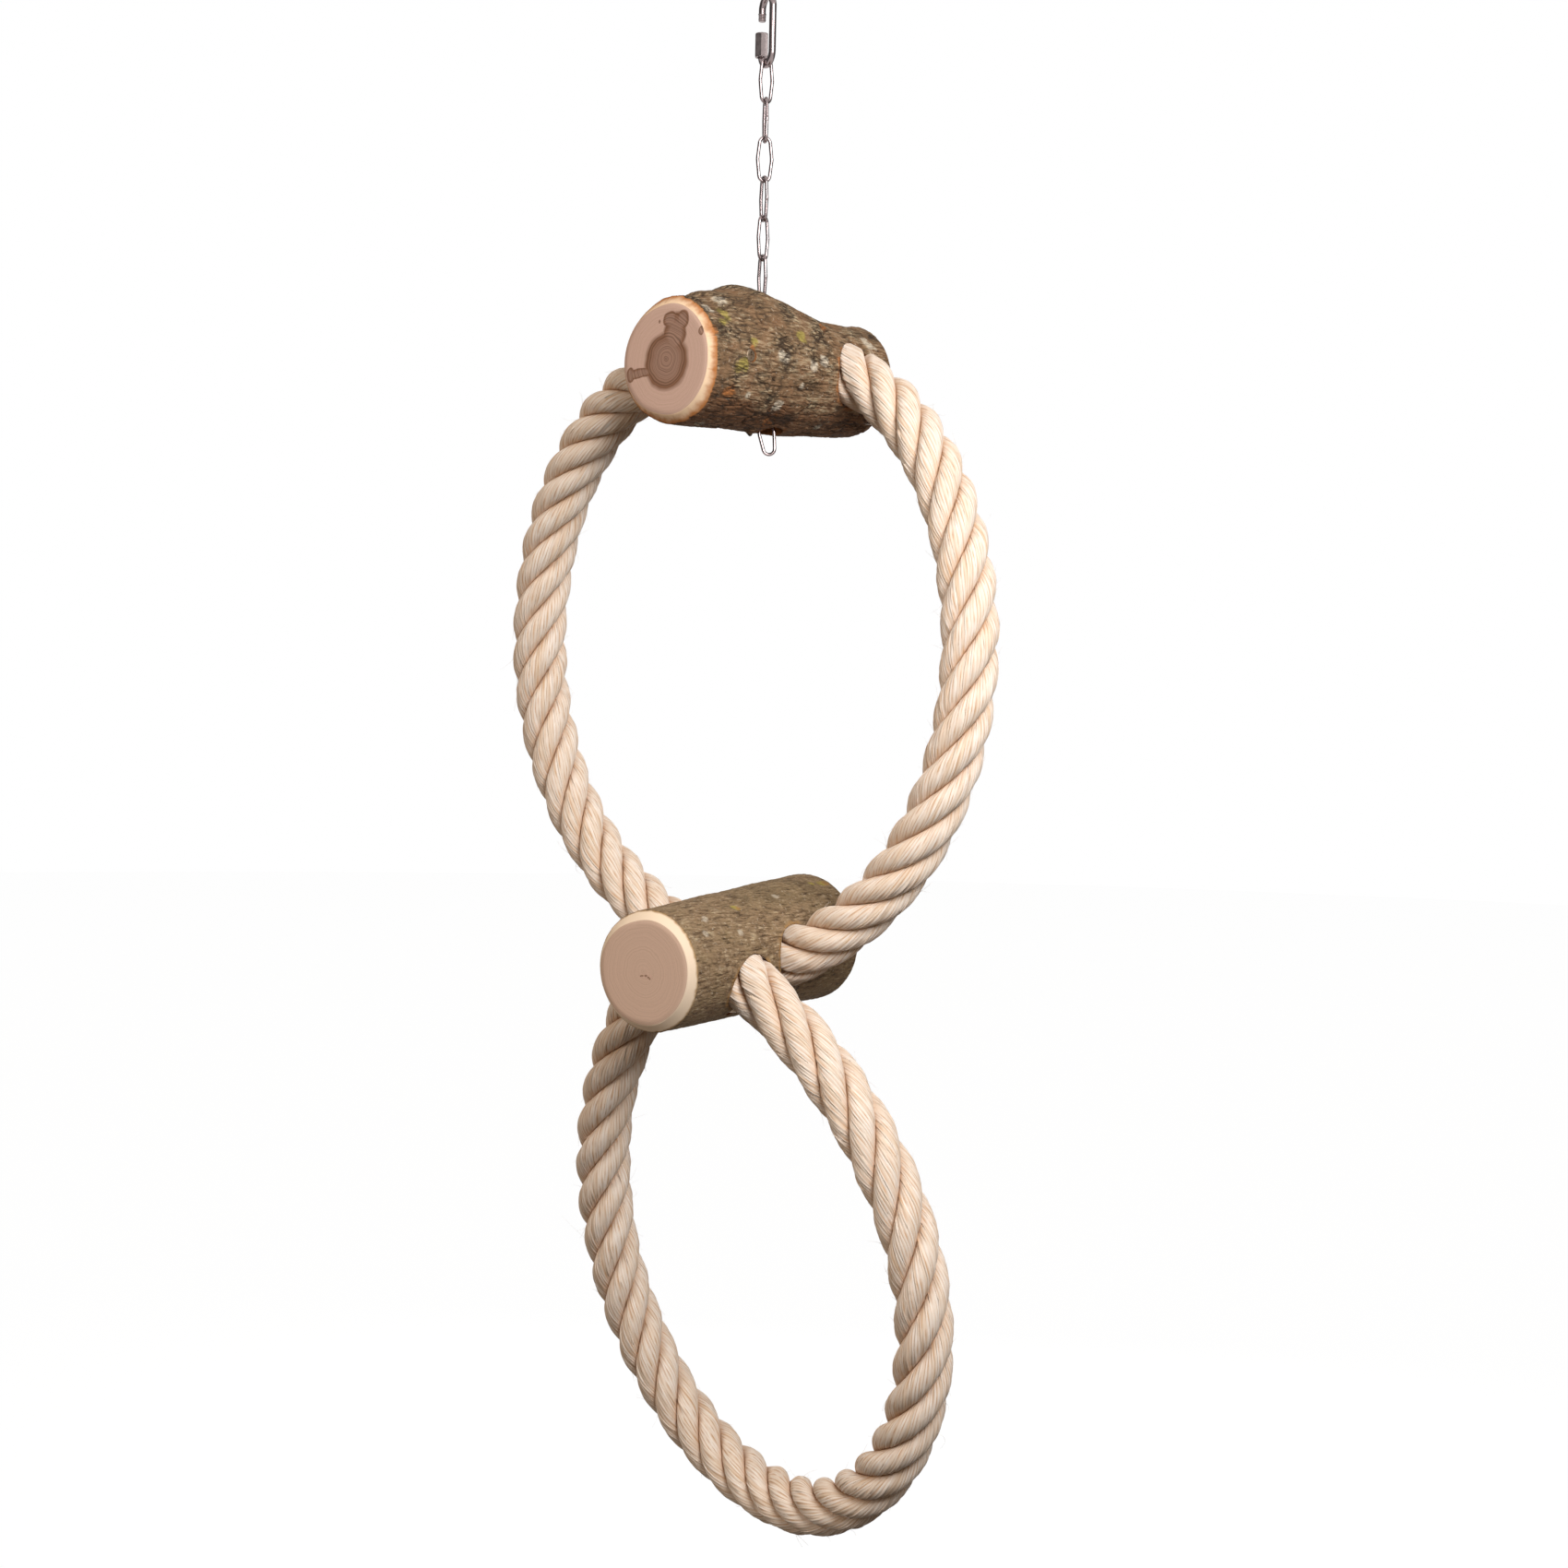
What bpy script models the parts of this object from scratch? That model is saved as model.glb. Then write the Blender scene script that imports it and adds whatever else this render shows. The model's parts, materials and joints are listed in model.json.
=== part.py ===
"""Double ring perch swing for birds: two bark logs joined by two rings of thick twisted rope.

Metres, +Z up. The origin is the point the swing hangs from: the inside of the quick link's top bow.
The upper log lies along Y, with its near end at -Y, and the rings spread along X.
"""
import math

import bmesh
import bpy
from mathutils import Matrix, Vector

# Clearances
SEAT_GAP = 0.0003           # between pieces that rest on each other
ROPE_CLEARANCE = 0.0005     # between a rope and the socket drilled for it
HOLE_CLEARANCE = 0.0003     # round a screw, a pin or a thread
CUT_MARGIN = 0.006          # how far a cutter runs past the surface it opens

# Quick link, hanging open as photographed
QUICK_WIRE = 0.004
QUICK_SPACING = 0.0135      # limb to limb, wire centres
QUICK_INNER_LENGTH = 0.034
QUICK_TURN = math.radians(-63)
QUICK_BOW_STEPS = 10
STUB_LENGTH = 0.0042        # threaded stub below the top bow
STUB_SWELL = 1.1            # thread over wire diameter
STUB_SHOULDER = 0.0002      # step from thread to wire
GATE_GAP = 0.0065           # open gap between the stub and the nut
NUT_ACROSS_FLATS = 0.007
NUT_LENGTH = 0.0135
NUT_SINK = 0.0015           # how far the unscrewed nut comes down over the start of the bow
NUT_CORNER = 0.0006         # how far the hexagon's corners are turned off at both ends
THREAD_IN_NUT = 0.0125      # limb that stands inside the unscrewed nut

# Long-link chain
CHAIN_WIRE = 0.002
CHAIN_PITCH = 0.022
LINK_WIDTH = 0.0105         # outside, at mid-height, where the sides are bent out
LINK_END_RADIUS = 0.0032    # wire centre, round each end
LINK_END_STEPS = 6
# Turn of each link about the vertical, from flat-on to the viewer, as the chain hangs
LINK_TURNS_DEG = (38, 102, 20, 114, 52, 118, 2, 63, 122, 181)
LAST_LINK_SHIFT = 0.003     # the slanted bore pushes the last link aside by this much
LAST_LINK_LEAN = math.radians(-3)
PINNED_LINK = 8             # the pin goes through this link, counted from the top
VIEW_TURN = math.radians(-47.6)     # direction from the swing to the viewer, about +Z from +X

# Upper log
PIN_RISE = 0.0031           # chain pin above the log's axis
UPPER_LOG_NEAR = 0.075      # chain to near end
UPPER_LOG_FAR = 0.080       # chain to far end
UPPER_NEAR_RADIUS = 0.0355
UPPER_FAR_RADIUS = 0.0325
UPPER_BEND = 0.0035         # how far the branch bends up at its far end
KNOT_HEIGHT = 0.0122        # overgrown branch knot on top
KNOT_PLACE = -0.021
KNOT_NEAR_LENGTH = 0.024
KNOT_FAR_LENGTH = 0.040
KNOT_WIDTH = math.radians(52)

# Lower log
LOWER_LOG_HANG = Vector((-0.0062, -0.0087, -0.3291))     # its middle, from the upper log's at the chain
LOWER_LOG_YAW = math.radians(5.4)
LOWER_LOG_TILT = math.radians(3.5)
LOWER_LOG_LENGTH = 0.152
LOWER_NEAR_RADIUS = 0.0345
LOWER_FAR_RADIUS = 0.0380

# Both logs
CHAMFER_IN = 0.0045         # radial
CHAMFER_BACK = 0.0045       # along the log
BARK_WAVE = 0.0009          # slow out-of-round waves of a grown log
LOG_SIDES = 36
LOG_RINGS = 12

# Rope and its sockets
ROPE_DIAMETER = 0.032
ROPE_POINT_SPACING = 0.022
SOCKET_DEPTH = 0.024
SOCKET_END_GAP = 0.0003
# Upper ring: socket places along the upper log and the slopes at which the rope leaves it
UPPER_RIGHT_PLACE = 0.0445
UPPER_LEFT_PLACE = -0.037
UPPER_RIGHT_SLOPE = math.radians(24)
UPPER_LEFT_SLOPE = math.radians(9)
UPPER_RIGHT_REACH = (0.1206, 0.1738)    # curve handles at the upper and at the lower log
UPPER_LEFT_REACH = (0.1242, 0.1902)
UPPER_LEFT_SKEW = -0.078                # sideways lean of the left limb where it meets the lower log
LOWER_ENTRY_PLACE = 0.0156              # upper ring's sockets along the lower log
LOWER_ENTRY_SLOPE = math.radians(22.5)
LOWER_ENTRY_RISE = -0.0007
# Lower ring: sockets in the lower log and the lowest point of the loop
LOOP_PLACE = -0.0238
LOOP_RISE = -0.0114
LOOP_RIGHT_SLOPE = math.radians(33.9)
LOOP_LEFT_SLOPE = math.radians(48.4)
LOOP_RIGHT_REACH = 0.2249
LOOP_LEFT_REACH = 0.1646
LOOP_HANG = Vector((0.0191, 0.0328, -0.3186))           # from the lower log's middle
LOOP_BOTTOM_TURN = math.radians(-9.3)
LOOP_BOTTOM_REACH = 0.1214
UPPER_MOUTH_INSET = 0.001               # rope curves start this far below the bark
LOWER_MOUTH_INSET = 0.0042

# Screws and chain pin
SCREW_DIAMETER = 0.0035
SCREW_HEAD = 0.007
SCREW_HEAD_HEIGHT = 0.0022
SCREW_POINT = 0.005
LONG_SCREW = 0.050
SHORT_SCREW = 0.024
SCREW_OFFSET = 0.008        # upper log: along the log from the rope's middle, away from the chain
LEFT_SCREW_RISE = 0.003
RIGHT_SCREW_RISE = 0.008
LOWER_SCREW_REACH = 0.020   # lower log: from its axis, to either side
PIN_DIAMETER = 0.003
PIN_HEAD = 0.006
PIN_HEAD_HEIGHT = 0.0016
PIN_END_COVER = 0.006       # wood left in front of the pin's blind end
CHAIN_BORE = 0.016
BORE_LEAN = math.radians(4.2)           # the bore is drilled a little off square
BORE_LEAN_TURN = VIEW_TURN + math.pi / 2
BORE_MOUTH_RISE = 0.042                 # upper log axis to the bore's upper mouth, where it meets the chain

# Colour, roughness and metallic value of each material
FINISHES = {
    "stainless_steel": ((0.55, 0.53, 0.51), 0.28, 1.0),
    "zinc_screw": ((0.50, 0.49, 0.46), 0.40, 1.0),
    "bark_and_wood": ((0.17, 0.13, 0.085), 0.85, 0.0),
    "natural_rope": ((0.66, 0.53, 0.37), 0.90, 0.0),
}

ROPE_RADIUS = ROPE_DIAMETER / 2
CHAIN_RADIUS = CHAIN_WIRE / 2
QUICK_RADIUS = QUICK_WIRE / 2
ROUND_SIDES = 24


def clear_scene():
    """Remove every object of the open file."""
    for obj in list(bpy.data.objects):
        bpy.data.objects.remove(obj, do_unlink=True)


def finish(name):
    """Principled material from the table of finishes."""
    found = bpy.data.materials.get(name)
    if found:
        return found
    colour, roughness, metallic = FINISHES[name]
    material = bpy.data.materials.new(name)
    material.use_nodes = True
    shader = material.node_tree.nodes["Principled BSDF"]
    shader.inputs["Base Color"].default_value = (*colour, 1)
    shader.inputs["Roughness"].default_value = roughness
    shader.inputs["Metallic"].default_value = metallic
    material.diffuse_color = (*colour, 1)
    return material


def link_object(name, data, matrix, material=None):
    """New object in the scene at a world matrix."""
    obj = bpy.data.objects.new(name, data)
    bpy.context.scene.collection.objects.link(obj)
    obj.matrix_world = matrix
    if material:
        data.materials.append(finish(material))
    return obj


def pivot(name, place):
    """Empty on a joint's axis, which carries the pieces that move with it."""
    return link_object(name, None, Matrix.Translation(place))


def carry(obj, parent):
    """Parent a piece without moving it."""
    bpy.context.view_layer.update()
    obj.parent = parent
    obj.matrix_parent_inverse = parent.matrix_world.inverted()


def tube_curve(name, points, radius, sides, closed=False, swell=None):
    """Round bar along points, as a bevelled poly curve with filled caps."""
    curve = bpy.data.curves.new(name, "CURVE")
    curve.dimensions = "3D"
    curve.bevel_depth = radius
    curve.bevel_resolution = (sides - 4) // 2
    curve.use_fill_caps = True
    spline = curve.splines.new("POLY")
    spline.points.add(len(points) - 1)
    for index, (target, point) in enumerate(zip(spline.points, points)):
        target.co = (*point, 1)
        target.radius = swell[index] if swell else 1
    spline.use_cyclic_u = closed
    return curve


def tube_mesh(name, points, radius, sides):
    """The same bar as a mesh, so that holes can be cut in it."""
    holder = link_object(name, tube_curve(name, points, radius, sides), Matrix())
    graph = bpy.context.evaluated_depsgraph_get()
    mesh = bpy.data.meshes.new_from_object(holder.evaluated_get(graph))
    bpy.data.objects.remove(holder)
    mesh.name = name
    return mesh


def mesh_from_rings(name, rings):
    """Closed mesh through rings of equal count, capped by one flat face at each end."""
    made = bmesh.new()
    rows = [[made.verts.new(point) for point in ring] for ring in rings]
    count = len(rows[0])
    for low, high in zip(rows, rows[1:]):
        for index in range(count):
            after = (index + 1) % count
            made.faces.new((low[index], low[after], high[after], high[index]))
    made.faces.new(list(reversed(rows[0])))
    made.faces.new(rows[-1])
    bmesh.ops.recalc_face_normals(made, faces=made.faces)
    mesh = bpy.data.meshes.new(name)
    made.to_mesh(mesh)
    made.free()
    return mesh


def turned_mesh(name, profile, sides=ROUND_SIDES):
    """Solid turned about Z from a profile of (radius, height) pairs, from low to high."""
    rings = []
    for radius, height in profile:
        angles = (2 * math.pi * step / sides for step in range(sides))
        rings.append([(radius * math.cos(a), radius * math.sin(a), height) for a in angles])
    mesh = mesh_from_rings(name, rings)
    smooth(mesh)
    return mesh


def smooth(mesh):
    """Round faces shaded smooth, with edges over 35 degrees kept sharp."""
    mesh.shade_smooth()
    mesh.set_sharp_from_angle(angle=math.radians(35))


def cutter(name, mesh, matrix):
    """Shape that only removes material from others."""
    obj = link_object(name, mesh, matrix)
    obj.hide_render = True
    obj.display_type = "WIRE"
    return obj


def cut(obj, tool, operation="DIFFERENCE"):
    """Exact Boolean of a piece with a cutter."""
    change = obj.modifiers.new(tool.name, "BOOLEAN")
    change.object = tool
    change.operation = operation
    change.solver = "EXACT"


def arc(centre, radius, start, end, steps):
    """Points on an arc in the XZ plane; angles are counted from +X towards +Z."""
    points = []
    for step in range(steps + 1):
        angle = start + (end - start) * step / steps
        points.append(Vector((centre[0] + radius * math.cos(angle), 0,
                              centre[1] + radius * math.sin(angle))))
    return points


def bezier(ends, steps):
    """Points on a cubic Bezier curve, both ends included."""
    first, leave, arrive, last = ends
    points = []
    for step in range(steps + 1):
        t = step / steps
        points.append(first * (1 - t) ** 3 + leave * 3 * t * (1 - t) ** 2
                      + arrive * 3 * t * t * (1 - t) + last * t ** 3)
    return points


def turn_matrix(place, turn):
    """Frame of a hanging link: at a place, turned about the vertical from facing the viewer."""
    facing = VIEW_TURN + math.pi / 2
    return Matrix.Translation(place) @ Matrix.Rotation(facing + turn, 4, "Z")


# Quick link

def quick_link_heights():
    """Heights, from the hang point, of the wire centres and of the gate's parts."""
    top = QUICK_RADIUS
    bottom = -QUICK_INNER_LENGTH - QUICK_RADIUS
    bow = QUICK_SPACING / 2
    nut_low = bottom + bow - NUT_SINK
    nut_high = nut_low + NUT_LENGTH
    return {"top": top, "bottom": bottom, "bow": bow, "nut_low": nut_low, "nut_high": nut_high,
            "stub": nut_high + GATE_GAP}


def quick_link():
    """Bent wire link with a threaded stub, and the hexagon nut that closes its gate."""
    height = quick_link_heights()
    bow = height["bow"]
    frame = turn_matrix((0, 0, 0), QUICK_TURN)
    top_bow = arc((0, height["top"] - bow), bow, math.pi, 0, QUICK_BOW_STEPS)
    low_bow = arc((0, height["bottom"] + bow), bow, 0, -math.pi, QUICK_BOW_STEPS)
    stub_top = Vector((-bow, 0, height["stub"] + STUB_LENGTH))
    stub = [Vector((-bow, 0, height["stub"])), stub_top - Vector((0, 0, STUB_SHOULDER)), stub_top]
    limb_end = Vector((-bow, 0, height["nut_low"] + THREAD_IN_NUT))
    points = stub + top_bow + low_bow + [limb_end]
    swell = [STUB_SWELL, STUB_SWELL] + [1] * (len(points) - 2)
    body = link_object("quick_link_body", tube_curve("quick_link_body", points, QUICK_RADIUS, 12,
                                                     swell=swell), frame, "stainless_steel")

    corner = NUT_ACROSS_FLATS / math.sqrt(3)
    hexagon = [[(corner * math.cos(math.pi * side / 3), corner * math.sin(math.pi * side / 3), level)
                for side in range(6)] for level in (0, NUT_LENGTH)]
    place = frame @ Matrix.Translation((-bow, 0, height["nut_low"]))
    nut = link_object("quick_link_nut", mesh_from_rings("quick_link_nut", hexagon), place,
                      "stainless_steel")
    flat = NUT_ACROSS_FLATS / 2
    barrel = turned_mesh("nut_barrel", [(flat, -NUT_CORNER / 4), (corner, NUT_CORNER),
                                        (corner, NUT_LENGTH - NUT_CORNER),
                                        (flat, NUT_LENGTH + NUT_CORNER / 4)])
    cut(nut, cutter("nut_barrel", barrel, place), "INTERSECT")
    bore = QUICK_RADIUS * STUB_SWELL + HOLE_CLEARANCE
    hole = turned_mesh("nut_bore", [(bore, -CUT_MARGIN), (bore, NUT_LENGTH + CUT_MARGIN)])
    cut(nut, cutter("nut_bore", hole, place))
    carry(nut, body)
    return body


# Chain

def link_outline(rise):
    """Wire centres of one link, hanging from a pivot at the origin; rise is its top wire's height."""
    half = (CHAIN_PITCH + SEAT_GAP + CHAIN_WIRE) / 2
    middle = rise - half
    waist = LINK_WIDTH / 2 - CHAIN_RADIUS
    shoulder = half - LINK_END_RADIUS
    lean = math.atan2(waist - LINK_END_RADIUS, shoulder)
    top = arc((0, middle + shoulder), LINK_END_RADIUS, math.pi - lean, lean, LINK_END_STEPS)
    low = arc((0, middle - shoulder), LINK_END_RADIUS, -lean, lean - math.pi, LINK_END_STEPS)
    soft = shoulder / 6
    right = [Vector((waist - soft * math.tan(lean) / 2, 0, middle + soft * side)) for side in (1, -1)]
    left = [Vector((-point.x, 0, point.z)) for point in reversed(right)]
    return top + right + low + left


def chain_levels():
    """Pivot height and top-wire rise of each link, from the top down."""
    levels = []
    pivot_height = quick_link_heights()["bottom"]
    rise = QUICK_RADIUS + CHAIN_RADIUS + SEAT_GAP
    for _ in LINK_TURNS_DEG:
        levels.append((pivot_height, rise))
        pivot_height += rise - (CHAIN_PITCH + SEAT_GAP + CHAIN_WIRE)
        rise = CHAIN_WIRE + SEAT_GAP
    return levels


def link_leans():
    """Lean of each link on the one above: all hang plumb but the last two."""
    leans = [0.0] * len(LINK_TURNS_DEG)
    leans[-2:] = [-math.asin(LAST_LINK_SHIFT / CHAIN_PITCH), LAST_LINK_LEAN]
    return leans


def link_frames():
    """World frame of each link: hung from the one above, leaned on its bow, then turned about its own length."""
    frames = []
    frame = turn_matrix((0, 0, 0), QUICK_TURN)
    turn_above = QUICK_TURN
    height_above = 0
    for turn_deg, lean, (height, _) in zip(LINK_TURNS_DEG, link_leans(), chain_levels()):
        turn = math.radians(turn_deg)
        frame = (frame @ Matrix.Translation((0, 0, height - height_above))
                 @ Matrix.Rotation(lean, 4, "X")
                 @ Matrix.Rotation(turn - turn_above, 4, "Z"))
        frames.append(frame)
        turn_above, height_above = turn, height
    return frames


def chain(hanger):
    """Ten links, each pivoting on the lower bow of the one above."""
    links = []
    above = hanger
    for number, (frame, (_, rise)) in enumerate(zip(link_frames(), chain_levels()), start=1):
        name = f"chain_link_{number:02d}"
        wire = tube_curve(name, link_outline(rise), CHAIN_RADIUS, 8, closed=True)
        link = link_object(name, wire, frame, "stainless_steel")
        carry(link, above)
        links.append(link)
        above = link
    return links


def pin_height():
    """The pin lies inside the pinned link, on the top wire of the link below it."""
    height, rise = chain_levels()[PINNED_LINK]
    return height + rise + CHAIN_RADIUS + SEAT_GAP + PIN_DIAMETER / 2


# Logs

def upper_frame():
    """Upper log: axis along Y, carried by the pin."""
    return Matrix.Translation((0, 0, pin_height() - PIN_RISE))


def lower_frame():
    """Lower log: turned a little by the rope's twist, with its near end hanging lower."""
    turn = Matrix.Rotation(LOWER_LOG_YAW, 4, "Z") @ Matrix.Rotation(LOWER_LOG_TILT, 4, "X")
    return upper_frame() @ Matrix.Translation(LOWER_LOG_HANG) @ turn


def upper_radius(place, angle):
    """Upper log's bark radius; the angle is counted from +X towards +Z."""
    share = (place + UPPER_LOG_NEAR) / (UPPER_LOG_NEAR + UPPER_LOG_FAR)
    base = UPPER_NEAR_RADIUS + (UPPER_FAR_RADIUS - UPPER_NEAR_RADIUS) * share
    wave = BARK_WAVE * (math.cos(2 * angle + 0.6) + 0.6 * math.cos(3 * angle - 40 * place))
    across = math.atan2(math.sin(angle - math.pi / 2), math.cos(angle - math.pi / 2))
    knot_length = KNOT_NEAR_LENGTH if place < KNOT_PLACE else KNOT_FAR_LENGTH
    knot = math.exp(-((place - KNOT_PLACE) / knot_length) ** 2 - (across / KNOT_WIDTH) ** 2)
    return base + wave + KNOT_HEIGHT * knot


def lower_radius(place, angle):
    """Lower log's bark radius, growing towards the far end."""
    share = place / LOWER_LOG_LENGTH + 0.5
    base = LOWER_NEAR_RADIUS + (LOWER_FAR_RADIUS - LOWER_NEAR_RADIUS) * share
    return base + BARK_WAVE * (math.cos(2 * angle - 0.9) + 0.4 * math.cos(3 * angle + 30 * place))


def upper_bend(place):
    """Height of the upper log's middle above its axis: straight to the chain, then bending up."""
    return UPPER_BEND * (max(place, 0) / UPPER_LOG_FAR) ** 2


def straight(place):
    """Height of a straight log's middle above its axis."""
    return 0


def log_rings(near, far, radius_at, rise_at):
    """Rings of a log along Y: flat end, chamfer, bark, chamfer, flat end."""
    inner = (far - near) - 2 * CHAMFER_BACK
    stations = [(near, CHAMFER_IN)]
    for step in range(LOG_RINGS + 1):
        stations.append((near + CHAMFER_BACK + inner * step / LOG_RINGS, 0))
    stations.append((far, CHAMFER_IN))
    rings = []
    for place, less in stations:
        ring = []
        for side in range(LOG_SIDES):
            angle = 2 * math.pi * side / LOG_SIDES
            radius = radius_at(place, angle) - less
            ring.append((radius * math.cos(angle), place, rise_at(place) + radius * math.sin(angle)))
        rings.append(ring)
    return rings


def log(name, near, far, radius_at, rise_at, frame):
    """One sawn length of branch with its bark on."""
    mesh = mesh_from_rings(name, log_rings(near, far, radius_at, rise_at))
    smooth(mesh)
    return link_object(name, mesh, frame, "bark_and_wood")


# Rope routes, in world coordinates

def upper_mouth(side, place):
    """Point on the upper log where an upper-ring limb leaves it; side is 1 on the right, -1 on the left."""
    angle = 0 if side > 0 else math.pi
    reach = upper_radius(place, angle) - UPPER_MOUTH_INSET
    return upper_frame() @ Vector((side * reach, place, 0))


def lower_mouth(side, place, rise):
    """Point on the lower log where a rope enters it."""
    angle = 0 if side > 0 else math.pi
    reach = lower_radius(place, angle) - LOWER_MOUTH_INSET
    return lower_frame() @ Vector((side * reach, place, rise))


def limb_steps(ends):
    """Number of straight runs that keeps the route's points about one spacing apart."""
    coarse = bezier(ends, 40)
    length = sum((b - a).length for a, b in zip(coarse, coarse[1:]))
    return max(4, round(length / ROPE_POINT_SPACING))


def upper_limb(side, place, slope, reach, skew):
    """Route of one limb of the upper ring, from inside the upper log to inside the lower log."""
    leave = Vector((side * math.cos(slope), 0, -math.sin(slope)))
    turn = lower_frame().to_3x3()
    arrive = turn @ Vector((side * math.cos(LOWER_ENTRY_SLOPE), skew, math.sin(LOWER_ENTRY_SLOPE)))
    start = upper_mouth(side, place)
    end = lower_mouth(side, LOWER_ENTRY_PLACE, LOWER_ENTRY_RISE)
    ends = (start, start + leave * reach[0], end + arrive * reach[1], end)
    route = bezier(ends, limb_steps(ends))
    arrive.normalize()
    return [start - leave * SOCKET_DEPTH] + route + [end - arrive * SOCKET_DEPTH]


def loop_limb(side, slope, reach):
    """Route of half of the lower ring, from inside the lower log to the loop's lowest point."""
    turn = lower_frame().to_3x3()
    leave = turn @ Vector((side * math.cos(slope), 0, -math.sin(slope)))
    start = lower_mouth(side, LOOP_PLACE, LOOP_RISE)
    along = Vector((math.cos(LOOP_BOTTOM_TURN), math.sin(LOOP_BOTTOM_TURN), 0))
    bottom = lower_frame().translation + LOOP_HANG
    ends = (start, start + leave * reach, bottom + along * side * LOOP_BOTTOM_REACH, bottom)
    return [start - leave * SOCKET_DEPTH] + bezier(ends, limb_steps(ends))


def rope_routes():
    """The three ropes: two limbs of the upper ring, and the whole lower ring."""
    right_half = loop_limb(1, LOOP_RIGHT_SLOPE, LOOP_RIGHT_REACH)
    left_half = loop_limb(-1, LOOP_LEFT_SLOPE, LOOP_LEFT_REACH)
    return {
        "upper_rope_right": upper_limb(1, UPPER_RIGHT_PLACE, UPPER_RIGHT_SLOPE, UPPER_RIGHT_REACH, 0),
        "upper_rope_left": upper_limb(-1, UPPER_LEFT_PLACE, UPPER_LEFT_SLOPE, UPPER_LEFT_REACH,
                                      UPPER_LEFT_SKEW),
        "lower_ring_rope": right_half + left_half[-2::-1],
    }


def socket_cutter(name, route):
    """Drilled socket round a rope's end and its first bend, from the end outwards."""
    inward = (route[0] - route[1]).normalized()
    points = [route[0] + inward * SOCKET_END_GAP] + route[1:4]
    return cutter(name, tube_mesh(name, points, ROPE_RADIUS + ROPE_CLEARANCE, ROUND_SIDES), Matrix())


# Fasteners

def fastener_profile(length, shank, head, head_height, point, grow=0.0):
    """Turned outline, point down, head on top of the seat plane at height 0; grow widens it."""
    return [(shank / 6 + grow, -length - grow), (shank / 2 + grow, -length + point),
            (shank / 2 + grow, 0 - grow), (head / 2 + grow, 0 - grow),
            (head / 2 + grow, head_height * 0.7), (head / 2 * 0.75 + grow, head_height)]


def hole_profile(length, shank, head, point):
    """Clearance hole for a fastener: shank, then a counterbore that runs out past the surface."""
    outline = fastener_profile(length, shank, head, CUT_MARGIN, point, HOLE_CLEARANCE)[:4]
    return outline + [(head / 2 + HOLE_CLEARANCE, CUT_MARGIN)]


def aim(place, direction):
    """Frame whose +Z points out of the wood, opposite to the way the screw is driven."""
    return Matrix.Translation(place) @ direction.to_track_quat("Z", "Y").to_matrix().to_4x4()


def screw_frames():
    """Seat plane of every rope screw: name, frame, length."""
    upper, lower = upper_frame(), lower_frame()
    sink = SCREW_HEAD_HEIGHT + SEAT_GAP
    frames = []
    # Each end of the upper ring is held from the opposite face of the log.
    for name, side, place, rise in (("rope_screw_upper_left", 1, UPPER_LEFT_PLACE - SCREW_OFFSET,
                                     LEFT_SCREW_RISE),
                                    ("rope_screw_upper_right", -1, UPPER_RIGHT_PLACE + SCREW_OFFSET,
                                     RIGHT_SCREW_RISE)):
        around = math.atan2(rise, side * UPPER_FAR_RADIUS)
        reach = math.sqrt(upper_radius(place, around) ** 2 - rise ** 2) - sink
        seat = upper @ Vector((side * reach, place, rise))
        frames.append((name, aim(seat, Vector((side, 0, 0))), LONG_SCREW))
    # The lower log's four rope ends are held from underneath.
    down = lower.to_3x3() @ Vector((0, 0, -1))
    for ring, place in (("upper_ring", LOWER_ENTRY_PLACE), ("lower_ring", LOOP_PLACE)):
        for label, side in (("right", 1), ("left", -1)):
            across = side * LOWER_SCREW_REACH
            around = -math.acos(across / lower_radius(place, -math.pi / 2))
            depth = math.sqrt(lower_radius(place, around) ** 2 - across ** 2) - sink
            seat = lower @ Vector((across, place, -depth))
            frames.append((f"rope_screw_lower_{ring}_{label}", aim(seat, down), SHORT_SCREW))
    return frames


def screw(name, frame, length, wood, ropes):
    """Rope screw, sunk flush with the bark, with its hole cut through log and rope."""
    profile = fastener_profile(length, SCREW_DIAMETER, SCREW_HEAD, SCREW_HEAD_HEIGHT, SCREW_POINT)
    lifted = frame @ Matrix.Translation((0, 0, SEAT_GAP))
    piece = link_object(name, turned_mesh(name, profile, 12), lifted, "zinc_screw")
    hole = hole_profile(length, SCREW_DIAMETER, SCREW_HEAD, SCREW_POINT)
    tool = cutter(name + "_hole", turned_mesh(name + "_hole", hole, 12), frame)
    for target in (wood, *ropes):
        cut(target, tool)
    return piece


def chain_pin(wood):
    """Pin driven across the upper log from its back, through the pinned link."""
    around = math.atan2(PIN_RISE, -UPPER_FAR_RADIUS)
    sink = PIN_HEAD_HEIGHT + SEAT_GAP
    back = math.sqrt(upper_radius(0, around) ** 2 - PIN_RISE ** 2) - sink
    front = upper_radius(0, 0) - PIN_END_COVER
    length = back + front
    frame = aim(upper_frame() @ Vector((-back, 0, PIN_RISE)), Vector((-1, 0, 0)))
    profile = fastener_profile(length, PIN_DIAMETER, PIN_HEAD, PIN_HEAD_HEIGHT, PIN_DIAMETER)
    lifted = frame @ Matrix.Translation((0, 0, SEAT_GAP))
    piece = link_object("chain_pin", turned_mesh("chain_pin", profile, 12), lifted, "zinc_screw")
    hole = hole_profile(length, PIN_DIAMETER, PIN_HEAD, PIN_DIAMETER)
    cut(wood, cutter("chain_pin_hole", turned_mesh("chain_pin_hole", hole, 12), frame))
    return piece


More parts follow.
